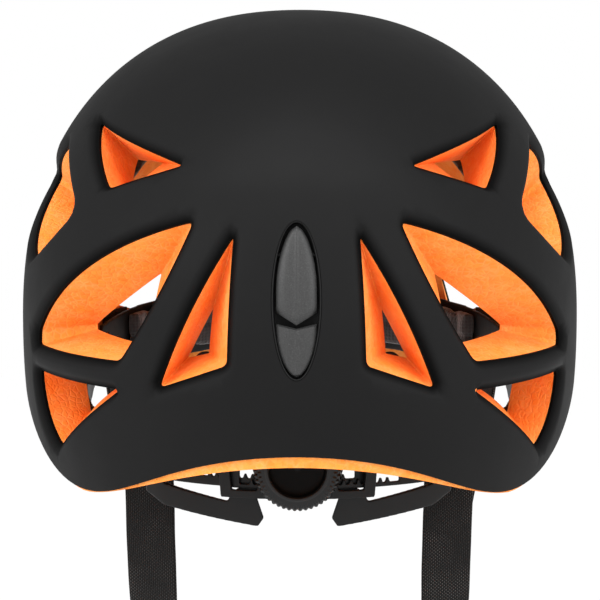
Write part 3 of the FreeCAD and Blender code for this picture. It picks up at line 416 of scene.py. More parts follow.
@contextmanager
def edited(mesh):
    """A mesh opened for edits, written back at the end."""
    bm = bmesh.new()
    bm.from_mesh(mesh)
    yield bm
    bm.to_mesh(mesh)
    bm.free()


def new_object(name, verts, faces):
    """A mesh object from points in millimetres."""
    mesh = bpy.data.meshes.new(name)
    corners = [tuple(v) for v in np.asarray(verts) * MM]
    mesh.from_pydata(corners, [], [tuple(int(i) for i in f) for f in faces])
    mesh.validate()
    obj = placed(name, mesh)
    shade_smooth(mesh)
    return obj


def face_outwards(mesh, merge=True):
    """Outward faces; without merging, the order of the vertices stays as it is."""
    with edited(mesh) as bm:
        if merge:
            bmesh.ops.remove_doubles(bm, verts=bm.verts, dist=1e-7)
        bmesh.ops.recalc_face_normals(bm, faces=bm.faces)


def strip(upper, lower):
    """Quads between two closed rows of indices."""
    n = len(upper)
    return [(upper[i], upper[(i + 1) % n], lower[(i + 1) % n], lower[i]) for i in range(n)]


def joined_rows(rows, count):
    """Quads between a number of closed rows, of count points each."""
    faces = []
    for a in range(0, (rows - 1) * count, count):
        faces += strip(range(a, a + count), range(a + count, a + 2 * count))
    return faces


def sharpen(mesh, degrees):
    """Smooth shading, kept crisp where faces meet at more than an angle."""
    with edited(mesh) as bm:
        for e in bm.edges:
            e.smooth = not (len(e.link_faces) == 2 and e.calc_face_angle(0) > radians(degrees))
        for f in bm.faces:
            f.smooth = True


def closed_object(name, verts, faces, crisp):
    """A mesh object that looks outwards, crisp where its faces meet at more than an angle."""
    obj = new_object(name, verts, faces)
    face_outwards(obj.data)
    sharpen(obj.data, crisp)
    return obj


def triangles_out(verts, faces):
    """The faces, wound so that they look away from the middle."""
    v = verts[faces]
    n = np.cross(v[:, 1] - v[:, 0], v[:, 2] - v[:, 0])
    wrong = (v.mean(1) * n).sum(1) < 0
    faces = faces.copy()
    faces[wrong] = faces[wrong][:, ::-1]
    return faces


# Each clip: azimuth and elevation of its middle, half width, half height
CLIP_PLACES = {"rear": (0, 11, 8.9, 28.5), "front_left": (-163, -5.5, 5.6, 12.0),
               "front_right": (163, -5.5, 5.6, 12.0)}


def clip_axes(az, el):
    """A clip's middle on the skin, with its outward, sideways and upward axes."""
    p = on_form(SKIN, np.array(az, float), np.array(el, float))
    out = normals_at(SKIN, p)
    across = np.cross([0, 0, 1], out)
    across /= np.linalg.norm(across)
    up = np.cross(out, across)
    return p, out, across, up


def oval(place, grow, count):
    """Points round a clip's oval, grown by a distance, in the plane that touches the skin at its middle."""
    az, el, half_width, half_height = place
    p, _, across, up = clip_axes(az, el)
    turns = np.linspace(0, 2 * pi, count, endpoint=False)
    sideways = np.outer(np.cos(turns) * (half_width + grow), across)
    return p + sideways + np.outer(np.sin(turns) * (half_height + grow), up)


def outer_skin(depth, stations, step):
    """The relief skin sunk by a depth: points, faces, loops, and normals of the plain form."""
    ovals = [to_map(*direction_of(oval(place, 0, 64))) for place in CLIP_PLACES.values()]
    holes = [vent.map for vent in ALL_VENTS] + ovals
    rim = to_map(*rim_loop(SKIN, stations, depth).T)
    uv, faces, loops = triangulate(SKIN, holes, rim, step, SKIN_RINGS)
    p = on_form(SKIN, *from_map(uv))
    n = normals_at(SKIN, p)
    return p - n * (drawn_in(p, uv) + depth)[:, None], triangles_out(p, faces), loops, n


def build_shell():
    """The thin shell, with its vents and the clips' openings."""
    outer, faces, loops, n = outer_skin(0.0, SHELL_RIM, SKIN_STEP)
    inner = outer - n * SHELL_WALL
    count = len(outer)
    all_faces = [tuple(f) for f in faces] + [tuple(f[::-1] + count) for f in faces]
    for loop in loops:
        all_faces += strip(loop, [i + count for i in loop])
    obj = closed_object("shell_skin", np.concatenate([outer, inner]), all_faces, 50)
    mark_relief_shade(obj)
    return obj


def mark_relief_shade(obj):
    """Writes how far each point of the skin is drawn in, as a share, for the material, which uses it to
    paint shade into the recesses round the vents.
    """
    az, el = direction_of(read(obj.data.vertices, "co") / MM)
    share = drawn_in(on_form(SKIN, az, el), to_map(az, el)) / RECESS_DEPTH
    layer = obj.data.attributes.new("relief", "FLOAT", "POINT")
    layer.data.foreach_set("value", np.clip(share, -1, 1))


def wall_rows(outer, inner, outwards, steps):
    """Rows of points down a vent's wall, rounded over at the skin."""
    rows = [outer + (inner - outer) * t for t in np.linspace(0, 1, steps + 1)[1:-1]]
    run = (inner - outer) / np.linalg.norm(inner - outer, axis=1, keepdims=True)
    lip = outer + run * 0.5 + outwards * 0.12
    return [lip] + rows


class Patchwork:
    """Points and faces, gathered row by row."""

    def __init__(self, blocks, faces):
        self.points, self.faces = list(blocks), faces
        self.total = sum(len(block) for block in blocks)

    def row(self, points):
        """Adds a row of points and returns their numbers."""
        self.points.append(points)
        start, self.total = self.total, self.total + len(points)
        return list(range(start, self.total))

    def join(self, rows):
        """Adds quads between each row and the next."""
        for upper, lower in zip(rows, rows[1:]):
            self.faces += strip(upper, lower)

    def fan(self, ids, ring, turn=1):
        """Closes a ring of points with triangles to its middle; a turn of -1 winds them the other way."""
        middle = self.row(ring.mean(0)[None])[0]
        count = len(ids)
        self.faces += [(ids[i], ids[(i + 1) % count], middle)[::turn] for i in range(count)]


def build_foam():
    """The liner: its skin under the shell, the cavity, the vents' walls, the clips' pockets and the edge."""
    outer, faces, loops, _ = outer_skin(SHELL_WALL + FOAM_GAP, FOAM_RIM, INNER_STEP)
    rim = to_map(*rim_loop(CAVITY, FOAM_RIM, 0).T)
    holes = [vent.inner_map for vent in ALL_VENTS]
    uv, inner_faces, inner_loops = triangulate(CAVITY, holes, rim, INNER_STEP, CAVITY_RINGS)
    cavity = on_form(CAVITY, *from_map(uv))
    inner_faces = triangles_out(cavity, inner_faces)[:, ::-1]
    base = len(outer)
    work = Patchwork([outer, cavity], [tuple(f) for f in faces] + [tuple(f + base) for f in inner_faces])
    edge_loops = list(zip(loops, inner_loops))
    for top, low in edge_loops[1:]:
        walls = wall_rows(outer[top], cavity[low], normals_at(SKIN, outer[top]), 10)
        work.join([top] + [work.row(row) for row in walls] + [[i + base for i in low]])
    for loop, place in zip(loops[len(edge_loops):], CLIP_PLACES.values()):
        floor = outer[loop] - clip_axes(*place[:2])[1] * CLIP_POCKET
        ids = work.row(floor)
        work.join([loop, ids])
        work.fan(ids, floor)
    top, low = edge_loops[0]
    edge = [work.row(row) for row in foam_edge_rows(outer[top], cavity[low])]
    work.join([top] + edge + [[i + base for i in low]])
    return closed_object("foam_body", np.concatenate(work.points), work.faces, 38)


def foam_edge_rows(outer, inner):
    """Rows across the foam's lower edge, rounded over at both skins."""
    rows = []
    for t in (0.02, 0.06, 0.12, 0.25, 0.4, 0.55, 0.7, 0.85, 0.94, 0.98):
        row = outer + (inner - outer) * t
        row[:, 2] = foam_edge(row)
        drop = min(min(t, 1 - t) / EDGE_ROUND_SHARE, 1)
        row[:, 2] += EDGE_ROUND * (1 - sqrt(1 - (1 - drop) ** 2))
        rows.append(row)
    return rows


# --- materials ----------------------------------------------------------------------------------
# Webbing: spacing of its ribs, and of the floats along them, in millimetres
RIB_PITCH, FLOAT_PITCH = 0.78, 1.25


class Nodes:
    """A small helper that adds and links shader nodes."""

    def __init__(self, name):
        self.material = bpy.data.materials.new(name)
        self.material.use_nodes = True
        self.tree = self.material.node_tree
        self.bsdf = self.tree.nodes["Principled BSDF"]

    def add(self, kind, inputs=None, **settings):
        node = self.tree.nodes.new(kind)
        for key, value in settings.items():
            setattr(node, key, value)
        self.put(node, inputs or {})
        return node

    def put(self, node, inputs):
        """Links or sets a node's inputs."""
        for key, value in inputs.items():
            if isinstance(value, bpy.types.NodeSocket):
                self.tree.links.new(value, node.inputs[key])
            else:
                node.inputs[key].default_value = value

    def math(self, operation, a, b=0.0, c=0.0):
        return self.add("ShaderNodeMath", {0: a, 1: b, 2: c}, operation=operation).outputs[0]

    def coords(self):
        return self.add("ShaderNodeTexCoord").outputs["Object"]

    def noise(self, scale, detail=3.0, roughness=0.55):
        inputs = {"Scale": scale, "Detail": detail, "Roughness": roughness, "Vector": self.coords()}
        return self.add("ShaderNodeTexNoise", inputs).outputs["Fac"]

    def ramp(self, fac, stops):
        node = self.add("ShaderNodeValToRGB", {"Fac": fac})
        ramp = node.color_ramp
        while len(ramp.elements) < len(stops):
            ramp.elements.new(0.5)
        for element, (at, colour) in zip(ramp.elements, stops):
            element.position = at
            element.color = (*colour, 1)
        return node.outputs["Color"]

    def span(self, value, low, high, to_low, to_high):
        inputs = {0: value, 1: low, 2: high, 3: to_low, 4: to_high}
        return self.add("ShaderNodeMapRange", inputs).outputs[0]

    def mix(self, fac, a, b):
        """A colour between a and b; the mix node's colour sockets are its seventh and eighth."""
        return self.add("ShaderNodeMix", {0: fac, 6: a, 7: b}, data_type="RGBA").outputs[2]

    def bump(self, height, strength, distance, normal=None):
        inputs = {"Height": height, "Strength": strength, "Distance": distance}
        if normal:
            inputs["Normal"] = normal
        return self.add("ShaderNodeBump", inputs).outputs["Normal"]

    def finish(self, colour, roughness, normal, **others):
        """Gives the shader its inputs, others being named with underscores for spaces."""
        inputs = {"Base Color": colour, "Roughness": roughness, "Normal": normal}
        inputs.update({name.replace("_", " "): value for name, value in others.items()})
        self.put(self.bsdf, inputs)
        return self.material


def moulded_plastic(name, colour, roughness, specular, spread=0.10):
    """Moulded plastic: a fine spark-eroded texture, with faint clouding in colour and gloss."""
    m = Nodes(name)
    clouds = m.noise(38.0, 4.0)
    dark = tuple(c * (1 - spread) for c in colour)
    light = tuple(c * (1 + spread) for c in colour)
    tint = m.ramp(clouds, [(0.3, dark), (0.7, light)])
    fine = m.noise(1800.0, 2.0, 0.6)
    rough = m.span(m.noise(60.0, 3.0), 0.3, 0.7, roughness - 0.05, roughness + 0.05)
    return m.finish(tint, rough, m.bump(fine, 0.35, 0.00004), Specular_IOR_Level=specular)


def shell_material():
    """Matte polycarbonate with a fine spark-eroded texture and faint handling marks, and painted shade: the
    colour is darkened towards near-black where the skin is drawn in round the vents.
    """
    m = Nodes("matte_shell")
    clouds = m.noise(22.0, 5.0)
    tint = m.ramp(clouds, [(0.25, (0.0036, 0.0036, 0.0037)), (0.75, (0.0052, 0.0052, 0.0053))])
    # Painted shade: the colour is darkened towards near-black where the skin is drawn in round the vents;
    # the specular level also runs from 0.15 on the crest down to 0.035 deep in the recesses.
    relief = m.add("ShaderNodeAttribute", attribute_name="relief").outputs["Fac"]
    tint = m.mix(m.span(relief, 0.05, 0.9, 0.0, 0.85), tint, (0.0008, 0.0008, 0.0008, 1))
    gloss = m.span(relief, -0.3, 0.9, 0.15, 0.035)
    fine = m.noise(2600.0, 2.0, 0.7)
    rough = m.span(m.noise(45.0, 4.0), 0.3, 0.7, 0.56, 0.64)
    return m.finish(tint, rough, m.bump(fine, 0.28, 0.00005), Specular_IOR_Level=gloss)


def foam_material():
    """Expanded foam: fused beads with paler borders, a few of them sunk at the skin."""
    m = Nodes("bead_foam")
    where = m.coords()
    warp = m.add("ShaderNodeTexNoise", {"Scale": 240.0, "Detail": 2.0, "Vector": where}).outputs["Color"]
    reach = (0.0012, 0.0012, 0.0012)
    moved = m.add("ShaderNodeVectorMath", {0: warp, 1: reach}, operation="MULTIPLY").outputs[0]
    place = m.add("ShaderNodeVectorMath", {0: where, 1: moved}, operation="ADD").outputs[0]
    beads = {"Scale": 430.0, "Vector": place, "Randomness": 1.0}
    edge = m.add("ShaderNodeTexVoronoi", beads, feature="DISTANCE_TO_EDGE").outputs["Distance"]
    cell = m.add("ShaderNodeTexVoronoi", beads, feature="F1")
    shade = m.add("ShaderNodeSeparateColor", {0: cell.outputs["Color"]}).outputs[0]
    border = m.span(edge, 0.0, 0.3, 1.0, 0.0)
    big = m.noise(70.0, 5.0, 0.65)
    base = m.ramp(shade, [(0.0, (0.96, 0.235, 0.022)), (1.0, (0.99, 0.30, 0.035))])
    clouded = m.mix(m.span(big, 0.35, 0.7, 0.0, 0.5), base, (1.0, 0.40, 0.10, 1))
    amount = m.math("MULTIPLY", border, m.span(m.noise(160.0, 2.0), 0.35, 0.65, 0.0, 0.28))
    tint = m.mix(amount, clouded, (1.0, 0.52, 0.22, 1))
    pits = m.bump(m.span(edge, 0.0, 0.2, 0.0, 1.0), 0.45, 0.00035)
    grain = m.bump(m.noise(1500.0, 2.0), 0.25, 0.0001, pits)
    rough = m.span(big, 0.3, 0.7, 0.78, 0.9)
    return m.finish(tint, rough, grain, Specular_IOR_Level=0.3)


def clip_material():
    """Grey moulded nylon with a faint metallic fleck."""
    m = Nodes("grey_nylon")
    fleck = m.noise(1900.0, 2.0, 0.7)
    greys = ((0.35, 0.016), (0.62, 0.027), (0.8, 0.055))
    tint = m.ramp(fleck, [(at, (grey, grey, grey)) for at, grey in greys])
    rough = m.span(m.noise(80.0), 0.3, 0.7, 0.42, 0.5)
    return m.finish(tint, rough, m.bump(fleck, 0.3, 0.00005), Specular_IOR_Level=0.4)


def webbing_material():
    """Woven black polyester: ribs along the strap, crossed by small floats that are painted bright grey as
    painted sheen. UVs are in millimetres.
    """
    m = Nodes("black_webbing")
    uv = m.add("ShaderNodeUVMap", uv_map="weave").outputs["UV"]
    parts = m.add("ShaderNodeSeparateXYZ", {0: uv})
    across, along = parts.outputs["X"], parts.outputs["Y"]
    ribs = m.math("SINE", m.math("MULTIPLY", across, 2 * pi / RIB_PITCH))
    column = m.math("FLOOR", m.math("DIVIDE", across, RIB_PITCH))
    odd = m.math("MULTIPLY", m.math("MODULO", m.math("ABSOLUTE", column), 2.0), 0.5)
    turns = m.math("ADD", m.math("DIVIDE", along, FLOAT_PITCH), odd)
    rows = m.math("SINE", m.math("MULTIPLY", turns, 2 * pi))
    float_high = m.math("MULTIPLY", m.span(ribs, 0.15, 1.0, 0.0, 1.0), m.span(rows, 0.0, 0.95, 0.0, 1.0))
    patch = m.span(m.noise(60.0, 3.0), 0.38, 0.62, 0.35, 1.0)
    # Painted sheen: the floats are painted bright grey, in patches, as light caught on the black yarn; their
    # roughness is lower too.
    painted_float_sheen = m.math("MULTIPLY", float_high, patch)
    tint = m.ramp(painted_float_sheen, [(0.0, (0.0032, 0.0027, 0.0024)), (0.4, (0.006, 0.005, 0.0045)),
                           (1.0, (0.16, 0.145, 0.135))])
    height = m.math("ADD", m.math("MULTIPLY", ribs, 0.35), float_high)
    rough = m.span(painted_float_sheen, 0.0, 1.0, 0.85, 0.5)
    weave = m.bump(height, 0.9, 0.00022)
    return m.finish(tint, rough, weave, Sheen_Weight=0.08, Specular_IOR_Level=0.2)


def pad_material():
    """Knitted spacer mesh over foam."""
    m = Nodes("pad_mesh")
    holes = m.add("ShaderNodeTexVoronoi", {"Scale": 760.0, "Vector": m.coords(), "Randomness": 0.25},
                  feature="F1").outputs["Distance"]
    shade = m.span(holes, 0.15, 0.75, 0.0, 1.0)
    tint = m.ramp(shade, [(0.0, (0.006, 0.006, 0.006)), (1.0, (0.032, 0.032, 0.034))])
    fuzz = m.noise(1800.0, 2.0)
    bump = m.bump(fuzz, 0.3, 0.0001, m.bump(holes, 0.8, 0.0004))
    return m.finish(tint, m.span(fuzz, 0.3, 0.7, 0.8, 0.95), bump, Sheen_Weight=0.4)


def steel_material():
    """Blackened steel of the pins and screws."""
    m = Nodes("blackened_steel")
    rings = m.noise(900.0, 2.0)
    tint = m.ramp(m.noise(120.0), [(0.3, (0.007, 0.007, 0.007)), (0.7, (0.012, 0.012, 0.012))])
    return m.finish(tint, m.span(rings, 0.3, 0.7, 0.25, 0.4), m.bump(rings, 0.2, 0.00003), Metallic=1.0)


def rubber_material():
    """Rubber of the strap's keeper."""
    m = Nodes("keeper_rubber")
    grain = m.noise(1400.0, 3.0)
    tint = m.ramp(m.noise(90.0), [(0.3, (0.013, 0.013, 0.013)), (0.7, (0.02, 0.02, 0.02))])
    return m.finish(tint, m.span(grain, 0.3, 0.7, 0.6, 0.75), m.bump(grain, 0.4, 0.00005))


SHELL_MATERIAL = shell_material()
FOAM_MATERIAL = foam_material()
CLIP_GREY = clip_material()
WEBBING = webbing_material()
PAD_FABRIC = pad_material()
STEEL = steel_material()
RUBBER = rubber_material()
HARNESS_PLASTIC = moulded_plastic("harness_plastic", (0.004, 0.004, 0.0041), 0.42, 0.2)
KNOB_PLASTIC = moulded_plastic("knob_plastic", (0.0045, 0.0045, 0.0047), 0.36, 0.25)
# A darker, less glossy copy of the knob plastic: painted shade for the hollow of the dial's bore.
KNOB_BORE_SHADE = moulded_plastic("knob_bore_painted_shade", (0.0012, 0.0012, 0.0012), 0.6, 0.08)
BUCKLE_PLASTIC = moulded_plastic("buckle_plastic", (0.005, 0.005, 0.0052), 0.38, 0.28)
CLIP_BLACK = moulded_plastic("clip_black", (0.003, 0.003, 0.003), 0.45, 0.18)


# --- pieces -------------------------------------------------------------------------------------
BODY_OF = {node: body for body, nodes in frame["record"]["behaviour"]["bodies"].items() for node in nodes}


def settle(piece, material, node):
    """Gives a piece its material, attaches it to its body, and hides the CAD node that it stands for."""
    piece.data.materials.clear()
    piece.data.materials.append(material)
    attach(piece, BODY_OF[node])
    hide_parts(node)
    return piece


def applied(piece):
    """Bakes a piece's modifiers into its mesh."""
    graph = bpy.context.evaluated_depsgraph_get()
    mesh = bpy.data.meshes.new_from_object(piece.evaluated_get(graph))
    piece.modifiers.clear()
    old = piece.data
    piece.data = mesh
    bpy.data.meshes.remove(old)


def cad_copy(node, name):
    """A copy of a CAD node's mesh, its doubled points merged."""
    piece = placed(name, frame["nodes"][node].data.copy())
    with edited(piece.data) as bm:
        bmesh.ops.remove_doubles(bm, verts=bm.verts, dist=2e-6)
    return piece


def moulded(node, name, material, voxel, rounds):
    """A CAD piece with the rounded edges of a moulding."""
    piece = cad_copy(node, name)
    remesh = piece.modifiers.new("skin", "REMESH")
    remesh.mode = "VOXEL"
    remesh.voxel_size = voxel * MM
    smooth = piece.modifiers.new("round", "SMOOTH")
    smooth.iterations, smooth.factor = rounds, 0.5
    applied(piece)
    shade_smooth(piece.data)
    settle(piece, material, node)


def lathe(name, profile, segments, place, relief):
    """A turned solid about -Y through a place; profile is (radius, distance behind its front)."""
    turns = np.linspace(0, 2 * pi, segments, endpoint=False)
    rows = []
    for r, s in profile:
        lift = relief(turns, r, s)
        rr = np.maximum(r - lift, 0)
        rows.append(np.stack([rr * np.cos(turns), s + lift * 0.4, rr * np.sin(turns)], -1))
    faces = joined_rows(len(rows), segments)
    points = np.concatenate(rows + [[[0, profile[0][1], 0]], [[0, profile[-1][1], 0]]]) + np.array(place)
    front, back = segments * len(rows), segments * len(rows) + 1
    for i in range(segments):
        j = (i + 1) % segments
        faces.append((front, i, j))
        faces.append((back, (len(rows) - 1) * segments + j, (len(rows) - 1) * segments + i))
    return closed_object(name, points, faces, 42)


def build_knob():
    """The dial: a ribbed grip round a bead and a dished bore."""
    low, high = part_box("dial_knob")
    place = (0, low.y / MM, (low.z + high.z) / 2 / MM)
    depth = (high.y - low.y) / MM
    ridges, outer, bore = 48, (high.x - low.x) / 2 / MM, 10.3

    def ribs(turns, r, s):
        if r < outer - 2.9 or s > depth - 1.4:
            return np.zeros(len(turns))
        shift = pi if r > outer - 1.5 else 0
        cut = 0.5 - 0.5 * np.cos(ridges * turns + shift)
        return 0.55 * cut**1.6

    bowl = [(0.01, 3.7), (7.6, 3.65), (9.2, 3.4), (9.9, 2.7), (10.25, 1.5), (10.45, 0.6)]
    bead = [(10.7, 0.22), (11.05, 0.1), (11.4, 0.22), (11.7, 0.55), (12.1, 0.9), (12.9, 0.95), (13.05, 1.0)]
    grip = [(13.2, 1.02), (13.6, 1.1), (14.2, 1.32), (14.45, 1.45), (14.7, 1.62), (15.2, 2.1), (15.6, 2.8),
            (15.9, 3.6), (outer, 4.6), (outer, 6.0), (outer, depth - 1.5), (outer - 0.4, depth - 0.5),
            (outer - 1.2, depth), (3.2, depth)]
    knob = lathe("knob", bowl + bead + grip, ridges * 8, place, ribs)
    settle(knob, KNOB_PLASTIC, "dial_knob")
    # The dish of the bore takes the darker copy of the knob plastic as painted shade.
    knob.data.materials.append(KNOB_BORE_SHADE)
    for face in knob.data.polygons:
        out = sqrt(face.center.x**2 + (face.center.z - place[2] * MM) ** 2)
        if out < bore * MM and face.center.y < (place[1] + depth / 2) * MM:
            face.material_index = 1


def leaf_mesh(name, place, rows, node, lift):
    """A domed leaf with a soft crease down its middle; rows are (height, half width, drop at middle)."""
    p, out, across, up = clip_axes(*place[:2])
    columns = np.linspace(-1, 1, 33)
    grid = []
    for z, w, drop in rows:
        x = columns * w
        zz = z - drop * (1 - np.abs(columns))
        skin = on_form(SKIN, *direction_of(p + np.outer(x, across) + np.outer(zz, up)))
        edge = np.abs(columns) ** 5
        dome = lift * (1 - 0.75 * np.abs(columns) ** 1.35) - 1.3 * edge
        dome += 0.28 * np.exp(-((columns * w / 0.55) ** 2))
        grid.append(skin + out * dome[:, None])
    grid = np.array(grid)
    count, wide = grid.shape[:2]
    ends = np.zeros(count)
    for i in range(count):
        t = min(i, count - 1 - i) / (count - 1)
        ends[i] = -1.1 * max(0.0, 1 - t / 0.05) ** 2
    top = grid + out * ends[:, None, None]
    under = grid - out * LEAF_THICKNESS
    points = np.concatenate([top.reshape(-1, 3), under.reshape(-1, 3)])
    faces, half = [], count * wide
    for i in range(count - 1):
        for j in range(wide - 1):
            a = i * wide + j
            faces.append((a, a + 1, a + wide + 1, a + wide))
            faces.append((half + a, half + a + wide, half + a + wide + 1, half + a + 1))
    border = list(range(wide)) + [i * wide + wide - 1 for i in range(1, count)]
    border += [(count - 1) * wide + j for j in range(wide - 2, -1, -1)]
    border += [i * wide for i in range(count - 2, 0, -1)]
    faces += strip(border, [b + half for b in border])
    settle(closed_object(name, points, faces, 40), CLIP_GREY, node)


def leaf_rows(half_width, top, bottom, drop_top, drop_bottom, widths):
    """Rows down a leaf whose half width follows (share of the height, share of the width) stations."""
    at, value = zip(*widths)
    return [(top + (bottom - top) * t, half_width * np.interp(t, at, value),
             drop_top * (1 - t) ** 2 + drop_bottom * t**2) for t in np.linspace(0, 1, 26)]


LEAF_THICKNESS, TRAY_DEPTH = 2.4, 6.4
# Half width of the clip's upper and lower leaves: share of the height, share of the width
OVAL = [(0, 0.02), (0.015, 0.16), (0.04, 0.26), (0.08, 0.38), (0.14, 0.52), (0.22, 0.65), (0.32, 0.78),
        (0.44, 0.89), (0.58, 0.97), (0.72, 1.0), (1, 1.0)]
OVAL_LOW = [(0, 1.0), (0.2, 0.985), (0.4, 0.93), (0.55, 0.84), (0.7, 0.71), (0.82, 0.55), (0.9, 0.41),
            (0.96, 0.26), (0.99, 0.13), (1, 0.02)]


def build_clips():
    """Each lamp clip: its swinging leaf, its fixed lower leaf and its tray."""
    for name, place in CLIP_PLACES.items():
        _, _, w, h = place
        leaf_w = w - (1.85 if name == "rear" else 1.75)
        top, low = h - 2.1, -(h - 1.7)
        upper = leaf_rows(leaf_w, top, -0.15 * h, 0.0, 0.155 * h, OVAL)
        lower = leaf_rows(leaf_w, -0.285 * h, low, 0.06 * h, 0.0, OVAL_LOW)
        leaf_mesh(name + "_clip_leaf", place, upper, name + "_clip_flap", 0.9)
        leaf_mesh(name + "_clip_lower_leaf", place, lower, name + "_clip_tongue", 0.55)
        build_tray(name, place)


def build_tray(name, place):
    """The oval tray: a rounded rim just under the skin, a wall and a floor."""
    out, count = clip_axes(*place[:2])[1], 96
    profile = [(0.0, -3.0), (0.0, -0.6), (-0.12, -0.15), (-0.35, 0.0), (-0.62, -0.08), (-0.85, -0.35),
               (-0.95, -0.8), (-1.0, -8.0), (-2.5, -8.3)]
    rows = [on_form(SKIN, *direction_of(oval(place, inset, count))) + out * lift for inset, lift in profile]
    work = Patchwork(rows, joined_rows(len(rows), count))
    work.fan(range(work.total - count, work.total), rows[-1])
    back = rows[0] - out * TRAY_DEPTH
    ids = work.row(back)
    work.join([ids, range(count)])
    work.fan(ids, back, turn=-1)
    tray = closed_object(name + "_clip_tray", np.concatenate(work.points), work.faces, 45)
    settle(tray, CLIP_BLACK, name + "_clip_base")


# --- webbing ------------------------------------------------------------------------------------
# Stations of each left-hand strap: its middle, and the direction of its width
STRAP_WIDTH, STRAP_THICK = 20.0, 1.5
BUCKLE_BAR, STRAP_CLEARANCE = 1.9, 0.3
REAR_STRAP = [((-65.7, -59.4, -2), (-0.68, 0.73, 0)), ((-64.3, -55.5, -12), (-0.72, 0.69, 0)),
              ((-59.0, -45.5, -24), (-0.88, 0.47, 0)), ((-57.0, -42, -40), (-0.93, 0.37, 0)),
              ((-56.2, -41.5, -72), (-0.94, 0.34, 0)), ((-55.4, -40.5, -106), (-0.90, 0.43, 0.02)),
              ((-56.0, -36, -128), (-0.55, 0.83, 0.1)), ((-56.5, -29.4, -143.5), (-0.10, 0.97, 0.22))]
FRONT_STRAP = [((-75.6, 50, -4), (0.40, 0.92, 0)), ((-75.2, 49.5, -25), (0.40, 0.92, 0)),
               ((-73, 45, -45), (0.35, 0.92, -0.2)), ((-64.5, 19.6, -92), (0.1, 0.9, -0.45)),
               ((-56.5, -8.4, -143.5), (0.0, 0.87, -0.5))]
CHIN_HANG = [((-56.5, -19, -157), (0, 1, 0)), ((-56.3, -19.5, -172), (0, 1, 0)),
             ((-54, -20.3, -188), (0, 1, 0)), ((-48.2, -21.1, -204.5), (0, 1, 0)),
             ((-39, -21.7, -219), (0, 1, 0))]


def smooth_line(points, step=1.2):
    """A Catmull-Rom line through points, about a step between its own."""
    p = np.array(points, float)
    p = np.vstack([2 * p[0] - p[1], p, 2 * p[-1] - p[-2]])
    line = []
    for i in range(1, len(p) - 2):
        a, b, c, d = p[i - 1:i + 3]
        steps = max(2, int(np.linalg.norm(c[:3] - b[:3]) / step))
        for t in np.linspace(0, 1, steps, endpoint=False):
            line.append(0.5 * (2 * b + (c - a) * t + (2 * a - 5 * b + 4 * c - d) * t**2
                               + (3 * b - a - 3 * c + d) * t**3))
    line.append(p[-2])
    return np.array(line)


def ribbon(name, stations, flip=1, ripple=0.12, seed=0.0):
    """Woven strap along stations of (centre, direction of its width), its edges rounded."""
    rows = smooth_line([list(c) + list(a) for c, a in stations])
    centres, across = rows[:, :3] * [flip, 1, 1], rows[:, 3:] * [flip, 1, 1]
    along = np.gradient(centres, axis=0)
    along /= np.linalg.norm(along, axis=1, keepdims=True)
    across -= (across * along).sum(1, keepdims=True) * along
    across /= np.linalg.norm(across, axis=1, keepdims=True)
    normal = np.cross(across, along)
    length = np.concatenate([[0], np.cumsum(np.linalg.norm(np.diff(centres, axis=0), axis=1))])
    half, edge = STRAP_WIDTH / 2, STRAP_THICK / 2
    wide = 17
    flat = np.linspace(-half + edge, half - edge, wide)
    turn = np.linspace(pi / 2, -pi / 2, 7)[1:-1]
    round_end = [(half - edge + edge * cos(t), edge * sin(t)) for t in turn]
    section = [(x, edge) for x in flat] + round_end
    section = np.array(section + [(-x, -y) for x, y in section])
    wave = ripple * (np.sin(length / 6.5 + seed) + 0.6 * np.sin(length / 3.1 + 2 * seed))
    points, count = [], len(section)
    for i in range(len(centres)):
        cup = ripple * 1.5 * np.sin(length[i] / 11 + seed) * ((section[:, 0] / half) ** 2 - 0.4)
        lift = section[:, 1:] + wave[i] + cup[:, None]
        points.append(centres[i] + section[:, :1] * across[i] + lift * normal[i])
    faces = joined_rows(len(points), count)
    faces.append(tuple(range(count)))
    faces.append(tuple(range((len(points) - 1) * count, len(points) * count))[::-1])
    piece = new_object(name, np.concatenate(points), faces)
    face_outwards(piece.data, merge=False)
    weave = piece.data.uv_layers.new(name="weave")
    sideways = [x + (2 * STRAP_WIDTH if y < 0 else 0) for x, y in section]
    for loop in piece.data.loops:
        i, j = divmod(loop.vertex_index, count)
        weave.data[loop.index].uv = (sideways[j], length[i])
    piece.data.materials.append(WEBBING)
    return piece


def buckle_slot():
    """The buckle's end, the level of its middle, the strap's depth there, and the slot's place."""
    low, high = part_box("buckle_plug")
    below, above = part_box("buckle_socket")
    return low.x / MM, (low.y + high.y) / 2 / MM, (below.z + above.z) / 2 / MM, low.x / MM + 4.0


def chin_strap():
    """The hanging strap, carried on over the buckle's end bar and down into its slot."""
    end, y, z, slot = buckle_slot()
    over = BUCKLE_BAR + STRAP_THICK / 2 + STRAP_CLEARANCE
    points = [(end - 3.5, y, z + over + 1.2), (end + 0.3, y, z + over), (slot - 0.9, y, z + over),
              (slot, y, z + over - 2.2)]
    return CHIN_HANG + [(p, (0, 1, 0)) for p in points]


def chin_tail():
    """The free end: back under the bar and up along the outside of the strap."""
    strap, (end, y, z, slot) = chin_strap(), buckle_slot()
    points = []
    for i in (2, 3, 4):
        run = np.array(strap[i + 1][0]) - np.array(strap[i - 1][0])
        out = np.array([run[2], 0, -run[0]]) / np.hypot(run[0], run[2])
        points.append(tuple(np.array(strap[i][0]) + out * 2.2))
    under = BUCKLE_BAR + STRAP_THICK / 2 + STRAP_CLEARANCE
    points += [(end - 1.5, y, z - under), (slot - 0.9, y, z - under), (slot, y, z - under + 1.6)]
    return [(p, (0, 1, 0)) for p in points]


